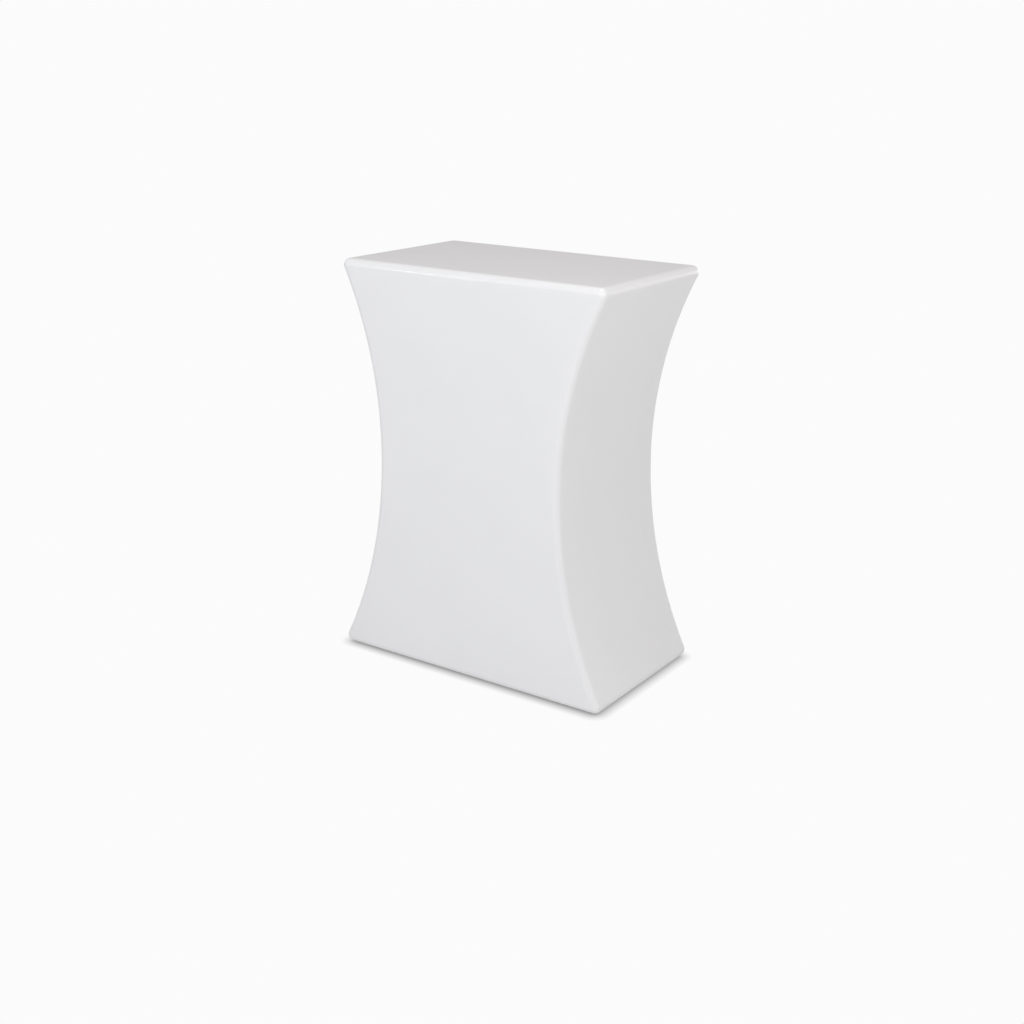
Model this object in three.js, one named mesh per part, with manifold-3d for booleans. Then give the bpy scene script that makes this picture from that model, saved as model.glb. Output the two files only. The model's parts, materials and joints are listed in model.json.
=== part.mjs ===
// A tall, narrow-waisted table inside a fitted stretch tablecloth.
//
// Two boards with round noses are held apart by four curved tubes. The cloth is
// sewn from flat panels, pulled over this frame from above, closed by a zip down
// the back and held under the base by an elastic in its hem. Four screwed feet
// level the table. Millimetres, +Z up, the front faces -Y, and the origin is on
// the floor below the middle of the table.

import * as THREE from 'three';
import { mergeVertices } from 'three/addons/utils/BufferGeometryUtils.js';
import Module from 'manifold-3d';

const wasm = await Module();
wasm.setup();

// ---------------------------------------------------------------- driving sizes

// The covered table
const height = 900; // floor to the top of the cloth
const depth = 400; // front of the cloth to its back
const topWidth = 680; // across the top, to where its edge would be if it were sharp
const baseWidth = 710; // the same across the foot of the cloth
const waistWidth = 468; // across the narrowest place
const waistHeight = 477; // that place above the floor
const edgeRadius = 15; // rounding along every outside edge
const floorGap = 3; // cloth above the floor

// The cloth
const cloth = 1; // thickness
const borderWidth = 26; // flat border that turns in under the base
const hemWidth = 7.4; // tunnel sewn along the border
const hemHeight = 6.4;
const hemCorner = 20; // corner radius of the hem in plan
const elasticWidth = 4.8;
const elasticHeight = 4;

// The frame
const tubeWall = 1.5;
const plugLength = 25; // threaded plug in each end of each tube
const boltLength = 46;
const boltRadius = 3; // M6
const boltHeadRadius = 6;
const boltHeadHeight = 3.6;
const boltInset = 3; // bolt towards the middle of the table from its tube's line
const noseFlat = 0.4; // flat left in the middle of each board's round edge

// The waist brace
const braceThickness = 18;
const braceFromTube = 2; // brace end to the tubes
const braceFromFace = 15; // brace edge inside the tubes' centre line
const tabThickness = 2.5; // steel tabs under the brace
const tabReach = 44; // tab from its tube's centre line, along the table
const tabWidth = 35; // tab from its tube's centre line, across the table
const screwRadius = 2;
const screwHeadRadius = 4;
const screwHeadHeight = 2.4;
const screwLength = 16;
const screwAlong = 31; // screw from the tube's centre line
const screwAcross = 25;

// The feet
const footInset = 30; // middle of a foot inside the edge of the cloth's border
const padRadius = 16;
const padHeight = 6;
const padBossRadius = 8;
const padBossHeight = 1.3;
const stemRadius = 4; // M8
const stemLength = 36;
const stemSeat = 2; // bottom of the stem's socket above the floor
const insertFlangeRadius = 11;
const insertFlange = 1.2;
const insertRadius = 5.4;
const insertLength = 14;
const counterboreSlack = 2; // room round the pad in the base board

// The zip
const zipSlotWidth = 8;
const zipFromTop = 40; // end of the slot below the top of the cloth
const zipFromFloor = 40; // other end of the slot above the floor
const zipHalfGap = 0.6; // half of the gap between the two rows of teeth
const tapeWidth = 16;
const tapeThickness = 0.8;
const tapeBehindCloth = 1.1; // cloth's inside to the tape
const teethWidth = 2.4;
const teethThickness = 2;
const zipEnd = 6; // tape beyond the slot, and teeth short of the tape
const stopHeight = 4;
const stopWidth = 6.8;
const sliderLength = 15;
const sliderWidth = 7;
const sliderPlate = 1.2;
const sliderInnerWidth = 9;
const sliderPost = 0.3; // half width of the web between the slider's plates
const sliderPostLength = 6;
const sliderPostFromTop = 2; // web below the slider's upper end
const sliderFromStop = 2; // closed slider to the upper stop, open slider to the lower one
const hingePinRadius = 0.8;
const hingeHole = 1.1;
const hingeEye = 1.9;
const hingeEarThickness = 1.2;
const hingeEyeWidth = 3.2;
const hingeFromTop = 3; // hinge below the slider's upper end
const pullLength = 30;
const pullWidth = 6;
const pullThickness = 1.2;

// Clearances
const gap = 0.3; // between pieces that touch
const frameGap = 0.8; // cloth to frame, which also takes up the flats on the curves

// Smoothness
const sideSteps = 10; // flats along each half of a side
const roundSteps = 4; // flats round an edge
const tubeSides = 10;
const tubeSteps = 20;
const turnedSides = 12;
const smallSides = 10;

// ---------------------------------------------------------------- worked-out sizes

const faceY = depth / 2;
const coreY = faceY - edgeRadius; // centre line of the front and back roundings
const coreTop = height - edgeRadius;
const coreBottom = floorGap + edgeRadius;
const coreCorner = 1; // small corner radius that the roundings turn about
const frameRadius = edgeRadius - cloth - frameGap;
const upperArc = arcRadius(height - waistHeight, (topWidth - waistWidth) / 2);
const lowerArc = arcRadius(waistHeight - floorGap, (baseWidth - waistWidth) / 2);
const halfRounding = (edgeRadius - cloth) * Math.SQRT1_2; // seams run half way round the edges
const seamY = coreY + halfRounding;
const seamTop = coreTop + halfRounding;
const seamBottom = coreBottom - halfRounding;
const topBoardLow = coreTop - frameRadius;
const topBoardHigh = coreTop + frameRadius;
const baseBoardLow = coreBottom - frameRadius;
const baseBoardHigh = coreBottom + frameRadius;
const topCoreX = coreCornerAt(1, coreTop, upperArc).x;
const baseCoreX = coreCornerAt(1, coreBottom, lowerArc).x;
const openingX = baseCoreX - borderWidth;
const openingY = coreY - borderWidth;
const footX = openingX - footInset;
const footY = openingY - footInset;
const far = 2 * (height + depth + baseWidth); // a box this big reaches past everything

// Radius of an arc that starts upright at the waist and ends 'out' beyond it, 'rise' away.
function arcRadius(rise, out) {
  return (rise * rise + out * out) / (2 * out);
}

// Half width of the line that the end roundings turn about, at a height.
function coreHalfWidth(z) {
  const radius = z > waistHeight ? upperArc : lowerArc;
  const across = Math.sqrt((radius + edgeRadius) ** 2 - (z - waistHeight) ** 2);
  return waistWidth / 2 + radius - across;
}

// ---------------------------------------------------------------- solid helpers

// A three.js geometry as a manifold solid, without the empty triangles at its poles.
function solidOf(geometry) {
  geometry.deleteAttribute('normal');
  geometry.deleteAttribute('uv');
  const merged = mergeVertices(geometry, 1e-4);
  const index = merged.index.array;
  const triangles = [];
  for (let i = 0; i < index.length; i += 3) {
    const [a, b, c] = [index[i], index[i + 1], index[i + 2]];
    if (a !== b && b !== c && c !== a) triangles.push(a, b, c);
  }
  return new wasm.Manifold(new wasm.Mesh({
    numProp: 3,
    vertProperties: new Float32Array(merged.attributes.position.array),
    triVerts: new Uint32Array(triangles),
  }));
}

function geometryOf(solid) {
  const mesh = solid.getMesh();
  const geometry = new THREE.BufferGeometry();
  geometry.setAttribute('position', new THREE.BufferAttribute(mesh.vertProperties, 3));
  geometry.setIndex(new THREE.BufferAttribute(mesh.triVerts, 1));
  geometry.computeVertexNormals();
  return geometry;
}

function box(x0, x1, y0, y1, z0, z1) {
  const geometry = new THREE.BoxGeometry(x1 - x0, y1 - y0, z1 - z0);
  geometry.translate((x0 + x1) / 2, (y0 + y1) / 2, (z0 + z1) / 2);
  return solidOf(geometry);
}

// A solid turned about an upright line through (x, y). Its profile is [radius, height]
// pairs that go up the outside, from the axis to the axis or back to their start.
function turned(profile, x = 0, y = 0, sides = turnedSides) {
  const points = profile.map(([radius, z]) => new THREE.Vector2(radius, z));
  const geometry = new THREE.LatheGeometry(points, sides);
  geometry.rotateX(Math.PI / 2);
  geometry.translate(x, y, 0);
  return solidOf(geometry);
}

function rod(radius, z0, z1, x, y, sides = turnedSides) {
  return turned([[0, z0], [radius, z0], [radius, z1], [0, z1]], x, y, sides);
}

// A straight bar of a section given as [y, z] pairs, laid along X.
function barAlongX(section, x0, x1) {
  const shape = new THREE.Shape(section.map(([y, z]) => new THREE.Vector2(y, z)));
  const geometry = new THREE.ExtrudeGeometry(shape, { depth: x1 - x0, bevelEnabled: false });
  geometry.rotateX(Math.PI / 2);
  geometry.rotateZ(Math.PI / 2);
  geometry.translate(x0, 0, 0);
  return solidOf(geometry);
}

function circle(y, z, radius, sides) {
  return arc(y, z, radius, 0, 2 * Math.PI, sides).slice(0, -1).map((p) => [p.x, p.y]);
}

// Points along an arc, both ends included.
function arc(x, y, radius, from, to, steps) {
  const points = [];
  for (let i = 0; i <= steps; i += 1) {
    const angle = from + ((to - from) * i) / steps;
    points.push(new THREE.Vector2(x + radius * Math.cos(angle), y + radius * Math.sin(angle)));
  }
  return points;
}

// A rectangle with round corners, centred on the origin.
function roundedRectangle(halfX, halfY, radius) {
  const quarter = Math.PI / 2;
  const corners = [[1, 1], [-1, 1], [-1, -1], [1, -1]];
  return corners.flatMap(([sx, sy], i) => arc(
    sx * (halfX - radius),
    sy * (halfY - radius),
    radius,
    i * quarter,
    (i + 1) * quarter,
    roundSteps,
  ));
}

function plate(points, z0, z1) {
  const shape = new THREE.Shape(points);
  const geometry = new THREE.ExtrudeGeometry(shape, { depth: z1 - z0, bevelEnabled: false });
  geometry.translate(0, 0, z0);
  return solidOf(geometry);
}

// A flat ring in plan: its outside is halfX by halfY, and it is 'width' wide.
function ring(halfX, halfY, width, z0, z1) {
  const outside = plate(roundedRectangle(halfX, halfY, hemCorner), z0, z1);
  const inside = plate(
    roundedRectangle(halfX - width, halfY - width, hemCorner - width),
    z0 - gap,
    z1 + gap,
  );
  return outside.subtract(inside);
}

// ---------------------------------------------------------------- outline

// Corner of the core outline between a side arc and the top or bottom line, as the
// centre of its small rounding and the direction from there to the side arc's centre.
function coreCornerAt(side, z, radius) {
  const inward = z > waistHeight ? -coreCorner : coreCorner;
  const centreZ = z + inward;
  const arcX = waistWidth / 2 + radius;
  const reach = radius + edgeRadius + coreCorner;
  const x = arcX - Math.sqrt(reach ** 2 - (centreZ - waistHeight) ** 2);
  return { x: side * x, z: centreZ, lean: Math.asin((centreZ - waistHeight) / reach) };
}

// The line that every rounding turns about, seen from the front: two straight lines
// joined by concave ends, each of two arcs that meet upright at the waist.
function coreOutline() {
  const top = coreCornerAt(1, coreTop, upperArc);
  const bottom = coreCornerAt(1, coreBottom, lowerArc);
  const quarter = Math.PI / 2;
  const right = [
    ...arc(bottom.x, bottom.z, coreCorner, -quarter, -bottom.lean, roundSteps),
    ...sideArc(lowerArc, bottom.lean, 0).slice(1),
    ...sideArc(upperArc, 0, top.lean).slice(1, -1),
    ...arc(top.x, top.z, coreCorner, -top.lean, quarter, roundSteps),
  ];
  const left = right.map((p) => new THREE.Vector2(-p.x, p.y)).reverse();
  return [...right, ...left];
}

// One half of the right end, between two leans from upright.
function sideArc(radius, from, to) {
  const centreX = waistWidth / 2 + radius;
  return arc(
    centreX,
    waistHeight,
    radius + edgeRadius,
    Math.PI - from,
    Math.PI - to,
    sideSteps,
  );
}

// The whole form with its edges rounded by 'rounding' about the core outline.
function roundedForm(rounding) {
  const length = 2 * coreY;
  const geometry = new THREE.ExtrudeGeometry(new THREE.Shape(coreOutline()), {
    depth: length,
    bevelSize: rounding,
    bevelThickness: rounding,
    bevelSegments: roundSteps,
  });
  geometry.rotateX(Math.PI / 2);
  geometry.translate(0, length / 2, 0);
  return solidOf(geometry);
}

// ---------------------------------------------------------------- cloth

const hemOpening = plate(
  roundedRectangle(openingX, openingY, hemCorner),
  -far,
  coreBottom,
);
const skin = roundedForm(edgeRadius)
  .subtract(roundedForm(edgeRadius - cloth))
  .subtract(hemOpening);
const seam = gap / 2;

function topPanel() {
  return skin.intersect(box(-far, far, -seamY + seam, seamY - seam, seamTop + seam, far));
}

function frontPanel() {
  return skin.intersect(box(-far, far, -far, -seamY - seam, -far, far));
}

// Half of the back, with the zip's slot down its inner edge.
function backPanel(side) {
  const [x0, x1] = side > 0 ? [seam, far] : [-far, -seam];
  const half = box(x0, x1, seamY + seam, far, -far, far);
  const slotHalf = zipSlotWidth / 2;
  const slot = box(-slotHalf, slotHalf, 0, far, zipFromFloor, height - zipFromTop);
  return skin.intersect(half).subtract(slot);
}

function endPanel(side) {
  const [x0, x1] = side > 0 ? [0, far] : [-far, 0];
  const end = box(x0, x1, -seamY + seam, seamY - seam, seamBottom + seam, seamTop - seam);
  return skin.intersect(end);
}

function baseBorder() {
  return skin.intersect(box(-far, far, -seamY + seam, seamY - seam, -far, seamBottom - seam));
}

// The hem is a tunnel, open at its seam above, that lies in a groove of the base board.
const hemX = openingX - gap;
const hemY = openingY - gap;

function hemBand() {
  const band = ring(hemX, hemY, hemWidth, floorGap, floorGap + hemHeight);
  const inset = cloth;
  const tunnel = ring(
    hemX - inset,
    hemY - inset,
    hemWidth - 2 * inset,
    floorGap + cloth,
    floorGap + hemHeight + gap,
  );
  return band.subtract(tunnel);
}

function hemElastic() {
  const inset = (hemWidth - elasticWidth) / 2;
  const low = floorGap + cloth + gap;
  return ring(hemX - inset, hemY - inset, elasticWidth, low, low + elasticHeight);
}

// ---------------------------------------------------------------- frame

// Line of a tube: the core outline's end, at the front or the back.
class TubeLine extends THREE.Curve {
  constructor(side, y) {
    super();
    this.side = side;
    this.y = y;
  }

  getPoint(t, target = new THREE.Vector3()) {
    const low = coreBottom + frameRadius / 2;
    const high = coreTop - frameRadius / 2;
    const z = low + (high - low) * t;
    return target.set(this.side * coreHalfWidth(z), this.y, z);
  }
}

// A bent rod or tube along a leg's line, cut level at both ends.
function bentRod(side, y, outer, inner, z0, z1) {
  const shape = new THREE.Shape(arc(0, 0, outer, 0, 2 * Math.PI, tubeSides).slice(0, -1));
  if (inner > 0) {
    shape.holes.push(new THREE.Path(arc(0, 0, inner, 0, 2 * Math.PI, tubeSides).slice(0, -1)));
  }
  const geometry = new THREE.ExtrudeGeometry(shape, {
    steps: tubeSteps,
    extrudePath: new TubeLine(side, y),
    bevelEnabled: false,
  });
  return solidOf(geometry).intersect(box(-far, far, -far, far, z0, z1));
}

const legLow = baseBoardHigh + gap;
const legHigh = topBoardLow - gap;

function legTube(side, front) {
  return bentRod(side, front * coreY, frameRadius, frameRadius - tubeWall, legLow, legHigh);
}

// Place of the bolt into a tube's upper or lower end: it is aimed at the tube's line
// half way along the stretch that the bolt reaches into the plug.
function boltPlace(side, front, upper) {
  const halfReach = (boltLength - 2 * frameRadius - gap) / 2;
  const z = upper ? legHigh - halfReach : legLow + halfReach;
  return [side * coreHalfWidth(z), front * (coreY - boltInset)];
}

function legPlug(side, front, upper) {
  const radius = frameRadius - tubeWall - gap;
  const low = upper ? legHigh - plugLength : legLow;
  const [x, y] = boltPlace(side, front, upper);
  return bentRod(side, front * coreY, radius, 0, low, low + plugLength)
    .subtract(rod(boltRadius + gap, low - gap, low + plugLength + gap, x, y, smallSides));
}

// Turned shape on a bolt's line, from [radius, distance into the board] pairs.
function onBoltLine(side, front, upper, profile) {
  const [x, y] = boltPlace(side, front, upper);
  const face = upper ? topBoardHigh : baseBoardLow;
  const inward = upper ? -1 : 1;
  const placed = profile.map(([radius, into]) => [radius, face + inward * into]);
  return turned(upper ? placed.reverse() : placed, x, y, smallSides);
}

// Countersunk bolt, its head just below the face of the board.
function legBolt(side, front, upper) {
  return onBoltLine(side, front, upper, [
    [0, gap],
    [boltHeadRadius, gap],
    [boltRadius, gap + boltHeadHeight],
    [boltRadius, boltLength],
    [0, boltLength],
  ]);
}

function boltHole(side, front, upper) {
  return onBoltLine(side, front, upper, [
    [0, -gap],
    [boltHeadRadius + gap, -gap],
    [boltHeadRadius + gap, gap],
    [boltRadius + gap, gap + boltHeadHeight],
    [boltRadius + gap, boltLength],
    [0, boltLength],
  ]);
}

function everyCorner(make) {
  return [-1, 1].flatMap((side) => [-1, 1].map((front) => make(side, front)));
}

// A board whose edge is rounded right round, about the core outline.
function noseBoard(halfX, z) {
  const geometry = new THREE.ExtrudeGeometry(
    new THREE.Shape(roundedRectangle(halfX, coreY, coreCorner)),
    {
      depth: noseFlat,
      bevelSize: frameRadius,
      bevelThickness: frameRadius - noseFlat / 2,
      bevelSegments: roundSteps,
    },
  );
  geometry.translate(0, 0, z - noseFlat / 2);
  return solidOf(geometry);
}

function topBoard() {
  let board = noseBoard(topCoreX, coreTop);
  for (const hole of everyCorner((side, front) => boltHole(side, front, true))) {
    board = board.subtract(hole);
  }
  return board;
}

// The base board also has a groove for the hem, and a counterbore for each foot.
function baseBoard() {
  let board = noseBoard(baseCoreX, coreBottom);
  for (const hole of everyCorner((side, front) => boltHole(side, front, false))) {
    board = board.subtract(hole);
  }
  for (const hole of everyCorner(footHole)) board = board.subtract(hole);
  const slack = gap;
  const groove = ring(
    hemX + slack,
    hemY + slack,
    hemWidth + 2 * slack,
    0,
    floorGap + hemHeight + slack,
  );
  return board.subtract(groove);
}

// ---------------------------------------------------------------- waist brace

const tubeX = coreHalfWidth(waistHeight);
const braceLow = waistHeight - braceThickness / 2;
const tabHigh = braceLow - gap;
const tabLow = tabHigh - tabThickness;

function screwPlace(side, front) {
  return [side * (tubeX - screwAlong), front * (coreY - screwAcross)];
}

function screwHole(side, front) {
  const [x, y] = screwPlace(side, front);
  return rod(screwRadius + gap, tabLow - gap, tabLow + screwLength + gap, x, y, smallSides);
}

function waistBrace() {
  const halfX = tubeX - frameRadius - braceFromTube;
  const halfY = coreY - braceFromFace;
  let brace = plate(
    roundedRectangle(halfX, halfY, braceFromTube),
    braceLow,
    braceLow + braceThickness,
  );
  for (const hole of everyCorner(screwHole)) brace = brace.subtract(hole);
  return brace;
}

// Steel tab that hugs its tube and carries a corner of the brace.
function braceTab(side, front) {
  const xs = [side * (tubeX - tabReach), side * tubeX].sort((a, b) => a - b);
  const ys = [front * (coreY - tabWidth), front * coreY].sort((a, b) => a - b);
  return box(...xs, ...ys, tabLow, tabHigh)
    .subtract(rod(frameRadius + gap, tabLow - gap, tabHigh + gap, side * tubeX, front * coreY))
    .subtract(screwHole(side, front));
}

function braceScrew(side, front) {
  const [x, y] = screwPlace(side, front);
  const headTop = tabLow - gap;
  return turned([
    [0, headTop - screwHeadHeight],
    [screwHeadRadius, headTop - screwHeadHeight],
    [screwHeadRadius, headTop],
    [screwRadius, headTop],
    [screwRadius, tabLow + screwLength],
    [0, tabLow + screwLength],
  ], x, y, smallSides);
}

// ---------------------------------------------------------------- feet

const padTop = padHeight + padBossHeight;
const flangeLow = padTop + gap;
const flangeHigh = flangeLow + insertFlange;

function footPad(side, front) {
  const chamfer = padHeight / 3;
  return turned([
    [0, 0],
    [padRadius, 0],
    [padRadius, padHeight - chamfer],
    [padRadius - chamfer, padHeight],
    [padBossRadius, padHeight],
    [padBossRadius, padTop],
    [stemRadius + gap, padTop],
    [stemRadius + gap, stemSeat],
    [0, stemSeat],
  ], side * footX, front * footY);
}

function footStem(side, front) {
  const low = stemSeat + gap;
  return rod(stemRadius, low, low + stemLength, side * footX, front * footY);
}

function footInsert(side, front) {
  const bore = stemRadius + gap;
  return turned([
    [bore, flangeLow],
    [insertFlangeRadius, flangeLow],
    [insertFlangeRadius, flangeHigh],
    [insertRadius, flangeHigh],
    [insertRadius, flangeHigh + insertLength],
    [bore, flangeHigh + insertLength],
    [bore, flangeLow],
  ], side * footX, front * footY);
}

function footHole(side, front) {
  const x = side * footX;
  const y = front * footY;
  const bore = rod(insertRadius + gap, 0, baseBoardHigh + gap, x, y);
  return bore.add(rod(padRadius + counterboreSlack, 0, flangeHigh + gap, x, y));
}

// ---------------------------------------------------------------- zip

const zipLow = zipFromFloor;
const zipHigh = height - zipFromTop;
const tapeOut = faceY - cloth - tapeBehindCloth;
const tapeIn = tapeOut - tapeThickness;
const teethIn = tapeOut - teethThickness;
const plateIn = tapeOut + gap; // outer plate of the slider
const plateOut = plateIn + sliderPlate;
const sliderHigh = zipHigh - zipEnd - sliderFromStop;
const sliderLow = sliderHigh - sliderLength;
const hingeZ = sliderHigh - hingeFromTop;
const hingeY = plateOut + gap + hingeEye;

// Tape of one side of the zip, with its row of teeth along the edge.
function zipStringer(side) {
  const near = side * zipHalfGap;
  const tapeX = [near, side * tapeWidth].sort((a, b) => a - b);
  const teethX = [near, side * (zipHalfGap + teethWidth)].sort((a, b) => a - b);
  const tape = box(...tapeX, tapeIn, tapeOut, zipLow - gap, zipHigh + gap);
  const teeth = box(...teethX, teethIn, tapeOut, zipLow + zipEnd, zipHigh - zipEnd);
  return tape.add(teeth);
}

function zipStop(z) {
  const half = stopWidth / 2;
  return box(-half, half, plateIn, plateIn + cloth, z, z + stopHeight);
}

// Slider: two plates joined by a web between the rows of teeth, and a hinge pin
// between two ears for the pull.
function zipSlider() {
  const half = sliderWidth / 2;
  const innerHalf = sliderInnerWidth / 2;
  const innerOut = teethIn - gap;
  const innerIn = innerOut - sliderPlate;
  const webLow = sliderHigh - sliderPostFromTop - sliderPostLength;
  const joinDepth = sliderPlate / 2;
  const outerPlate = box(-half, half, plateIn, plateOut, sliderLow, sliderHigh);
  const innerPlate = box(-innerHalf, innerHalf, innerIn, innerOut, sliderLow, sliderHigh);
  const web = box(
    -sliderPost,
    sliderPost,
    innerOut - joinDepth,
    plateIn + joinDepth,
    webLow,
    webLow + sliderPostLength,
  );
  const earStart = hingeEyeWidth / 2 + gap;
  const ears = [-1, 1].map((side) => {
    const xs = [side * earStart, side * (earStart + hingeEarThickness)].sort((a, b) => a - b);
    return box(...xs, plateOut - joinDepth, hingeY + hingeHole, hingeZ - hingeEye, hingeZ + hingeEye);
  });
  const pinReach = earStart + hingeEarThickness / 2;
  const pin = barAlongX(circle(hingeY, hingeZ, hingePinRadius, smallSides), -pinReach, pinReach);
  return outerPlate.add(innerPlate).add(web).add(ears[0]).add(ears[1]).add(pin);
}

// Pull: an eye round the hinge pin and a blade that hangs below it.
function zipPull() {
  const eyeHalf = hingeEyeWidth / 2;
  const halfThick = pullThickness / 2;
  const bladeTop = hingeZ - hingeEye - hingeHole;
  const bladeLow = hingeZ - pullLength;
  const halfWidth = pullWidth / 2;
  const eye = barAlongX(circle(hingeY, hingeZ, hingeEye, smallSides), -eyeHalf, eyeHalf);
  const neckLow = bladeTop - eyeHalf;
  const neck = box(-eyeHalf, eyeHalf, hingeY - halfThick, hingeY + halfThick, neckLow, hingeZ);
  const blade = box(
    -halfWidth,
    halfWidth,
    hingeY - halfThick,
    hingeY + halfThick,
    bladeLow,
    bladeTop,
  );
  const hole = barAlongX(circle(hingeY, hingeZ, hingeHole, smallSides), -far, far);
  return eye.add(neck).add(blade).subtract(hole);
}

// ---------------------------------------------------------------- materials

function material(colour, roughness, metalness) {
  return new THREE.MeshStandardMaterial({ color: colour, roughness, metalness });
}

const clothFinish = () => material(0xe8e9eb, 0.38, 0);
const elasticFinish = () => material(0xf0efea, 0.8, 0);
const boardFinish = () => material(0xc9a878, 0.6, 0);
const tubeFinish = () => material(0x3a3c40, 0.45, 0.6);
const zincFinish = () => material(0xb6b9bd, 0.35, 1);
const plugFinish = () => material(0x2b2c2e, 0.5, 0);
const padFinish = () => material(0x232426, 0.85, 0);
const zipFinish = () => material(0xe9eaeb, 0.6, 0);
const sliderFinish = () => material(0xd9dadc, 0.3, 0.8);

// ---------------------------------------------------------------- assembly

const table = new THREE.Group();

function addPiece(name, solid, finish) {
  const mesh = new THREE.Mesh(geometryOf(solid), finish());
  mesh.name = name;
  table.add(mesh);
}

const sideName = (side) => (side > 0 ? 'right' : 'left');
const faceName = (front) => (front > 0 ? 'back' : 'front');

addPiece('top_panel', topPanel(), clothFinish);
addPiece('front_panel', frontPanel(), clothFinish);
addPiece('base_border', baseBorder(), clothFinish);
addPiece('hem_band', hemBand(), clothFinish);
addPiece('hem_elastic', hemElastic(), elasticFinish);
addPiece('top_board', topBoard(), boardFinish);
addPiece('base_board', baseBoard(), boardFinish);
addPiece('waist_brace', waistBrace(), boardFinish);

for (const side of [-1, 1]) {
  addPiece(`back_${sideName(side)}_panel`, backPanel(side), clothFinish);
  addPiece(`${sideName(side)}_end_panel`, endPanel(side), clothFinish);
  addPiece(`zip_stringer_${sideName(side)}`, zipStringer(side), zipFinish);
}

addPiece('zip_slider', zipSlider(), sliderFinish);
addPiece('zip_pull', zipPull(), sliderFinish);
addPiece('zip_top_stop', zipStop(zipHigh - zipEnd), sliderFinish);
addPiece('zip_bottom_stop', zipStop(zipLow + zipEnd - stopHeight), sliderFinish);

everyCorner((side, front) => {
  const corner = `${faceName(front)}_${sideName(side)}`;
  addPiece(`leg_${corner}`, legTube(side, front), tubeFinish);
  addPiece(`leg_plug_top_${corner}`, legPlug(side, front, true), plugFinish);
  addPiece(`leg_plug_base_${corner}`, legPlug(side, front, false), plugFinish);
  addPiece(`leg_bolt_top_${corner}`, legBolt(side, front, true), zincFinish);
  addPiece(`leg_bolt_base_${corner}`, legBolt(side, front, false), zincFinish);
  addPiece(`brace_tab_${corner}`, braceTab(side, front), tubeFinish);
  addPiece(`brace_screw_${corner}`, braceScrew(side, front), zincFinish);
  addPiece(`foot_pad_${corner}`, footPad(side, front), padFinish);
  addPiece(`foot_stem_${corner}`, footStem(side, front), zincFinish);
  addPiece(`foot_insert_${corner}`, footInsert(side, front), zincFinish);
});

export default table;
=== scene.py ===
# %% [markdown]
# # A fitted tablecloth on a waisted table
# The object is a tall serving table with a narrow waist, inside a white stretch cloth. The cloth is
# sewn from flat panels, has a thin wipe-clean coating, and is pulled so tight over round-nosed
# boards and bent tubes that it shows no fold at all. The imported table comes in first, because every
# piece made here is placed by it. All lengths are metres: +Z is up and the front faces -Y.

import json
import math

import bmesh
import bpy
import numpy as np
from mathutils import Matrix, Vector

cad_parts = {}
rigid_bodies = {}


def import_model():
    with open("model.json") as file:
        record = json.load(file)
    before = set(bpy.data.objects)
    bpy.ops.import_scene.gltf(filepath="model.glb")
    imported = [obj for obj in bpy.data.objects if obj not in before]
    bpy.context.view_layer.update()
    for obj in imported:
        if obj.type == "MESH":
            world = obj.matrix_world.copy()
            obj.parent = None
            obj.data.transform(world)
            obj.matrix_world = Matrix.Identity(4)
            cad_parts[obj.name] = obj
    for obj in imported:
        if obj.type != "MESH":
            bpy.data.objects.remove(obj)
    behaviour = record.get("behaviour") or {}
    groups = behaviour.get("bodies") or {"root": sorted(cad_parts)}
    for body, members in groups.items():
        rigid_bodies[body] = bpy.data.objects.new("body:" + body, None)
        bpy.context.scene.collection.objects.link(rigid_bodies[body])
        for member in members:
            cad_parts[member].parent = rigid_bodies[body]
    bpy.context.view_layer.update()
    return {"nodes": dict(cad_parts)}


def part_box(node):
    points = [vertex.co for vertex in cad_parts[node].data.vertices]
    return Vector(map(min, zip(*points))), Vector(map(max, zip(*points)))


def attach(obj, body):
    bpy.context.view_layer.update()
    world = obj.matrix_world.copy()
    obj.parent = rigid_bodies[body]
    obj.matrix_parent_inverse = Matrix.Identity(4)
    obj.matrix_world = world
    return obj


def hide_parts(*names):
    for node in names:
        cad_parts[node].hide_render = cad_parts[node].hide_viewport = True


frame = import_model()
MM = 0.001

# %% [markdown]
# ## The outline
# The two ends are arcs. Each upper and lower arc stands upright at the waist, so the ends curve in
# and out again without a kink. Every outside edge is rounded about a line that lies one edge radius
# inside it. That core line is also where the tubes run, so the frame gives its place.

# %% Sizes, most of them read from the frame
EDGE = 15 * MM  # rounding along every outside edge
CLOTH = 1 * MM
TOP_WIDTH = 680 * MM  # across the top, if its edges were sharp
BASE_WIDTH = 710 * MM
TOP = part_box("top_panel")[1].z
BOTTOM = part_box("base_border")[0].z
FACE_Y = -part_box("front_panel")[0].y
leg_low, leg_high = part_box("leg_front_right")
TUBE = (leg_high.y - leg_low.y) / 2
WAIST_Z = (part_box("waist_brace")[0].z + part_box("waist_brace")[1].z) / 2
WAIST_X = leg_low.x + TUBE + EDGE  # half width of the cloth at the waist
CORE_Y = FACE_Y - EDGE
CORE_TOP = TOP - EDGE
CORE_BOTTOM = BOTTOM + EDGE


def arc_radius(rise, out):
    """Radius of an arc that starts upright and ends 'out' to the side, 'rise' away."""
    return (rise * rise + out * out) / (2 * out)


UPPER_ARC = arc_radius(TOP - WAIST_Z, TOP_WIDTH / 2 - WAIST_X)
LOWER_ARC = arc_radius(WAIST_Z - BOTTOM, BASE_WIDTH / 2 - WAIST_X)
print(f"waist {2000 * WAIST_X:.0f} mm wide at {1000 * WAIST_Z:.0f} mm, arcs "
      f"{1000 * UPPER_ARC:.0f} and {1000 * LOWER_ARC:.0f} mm")


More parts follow.
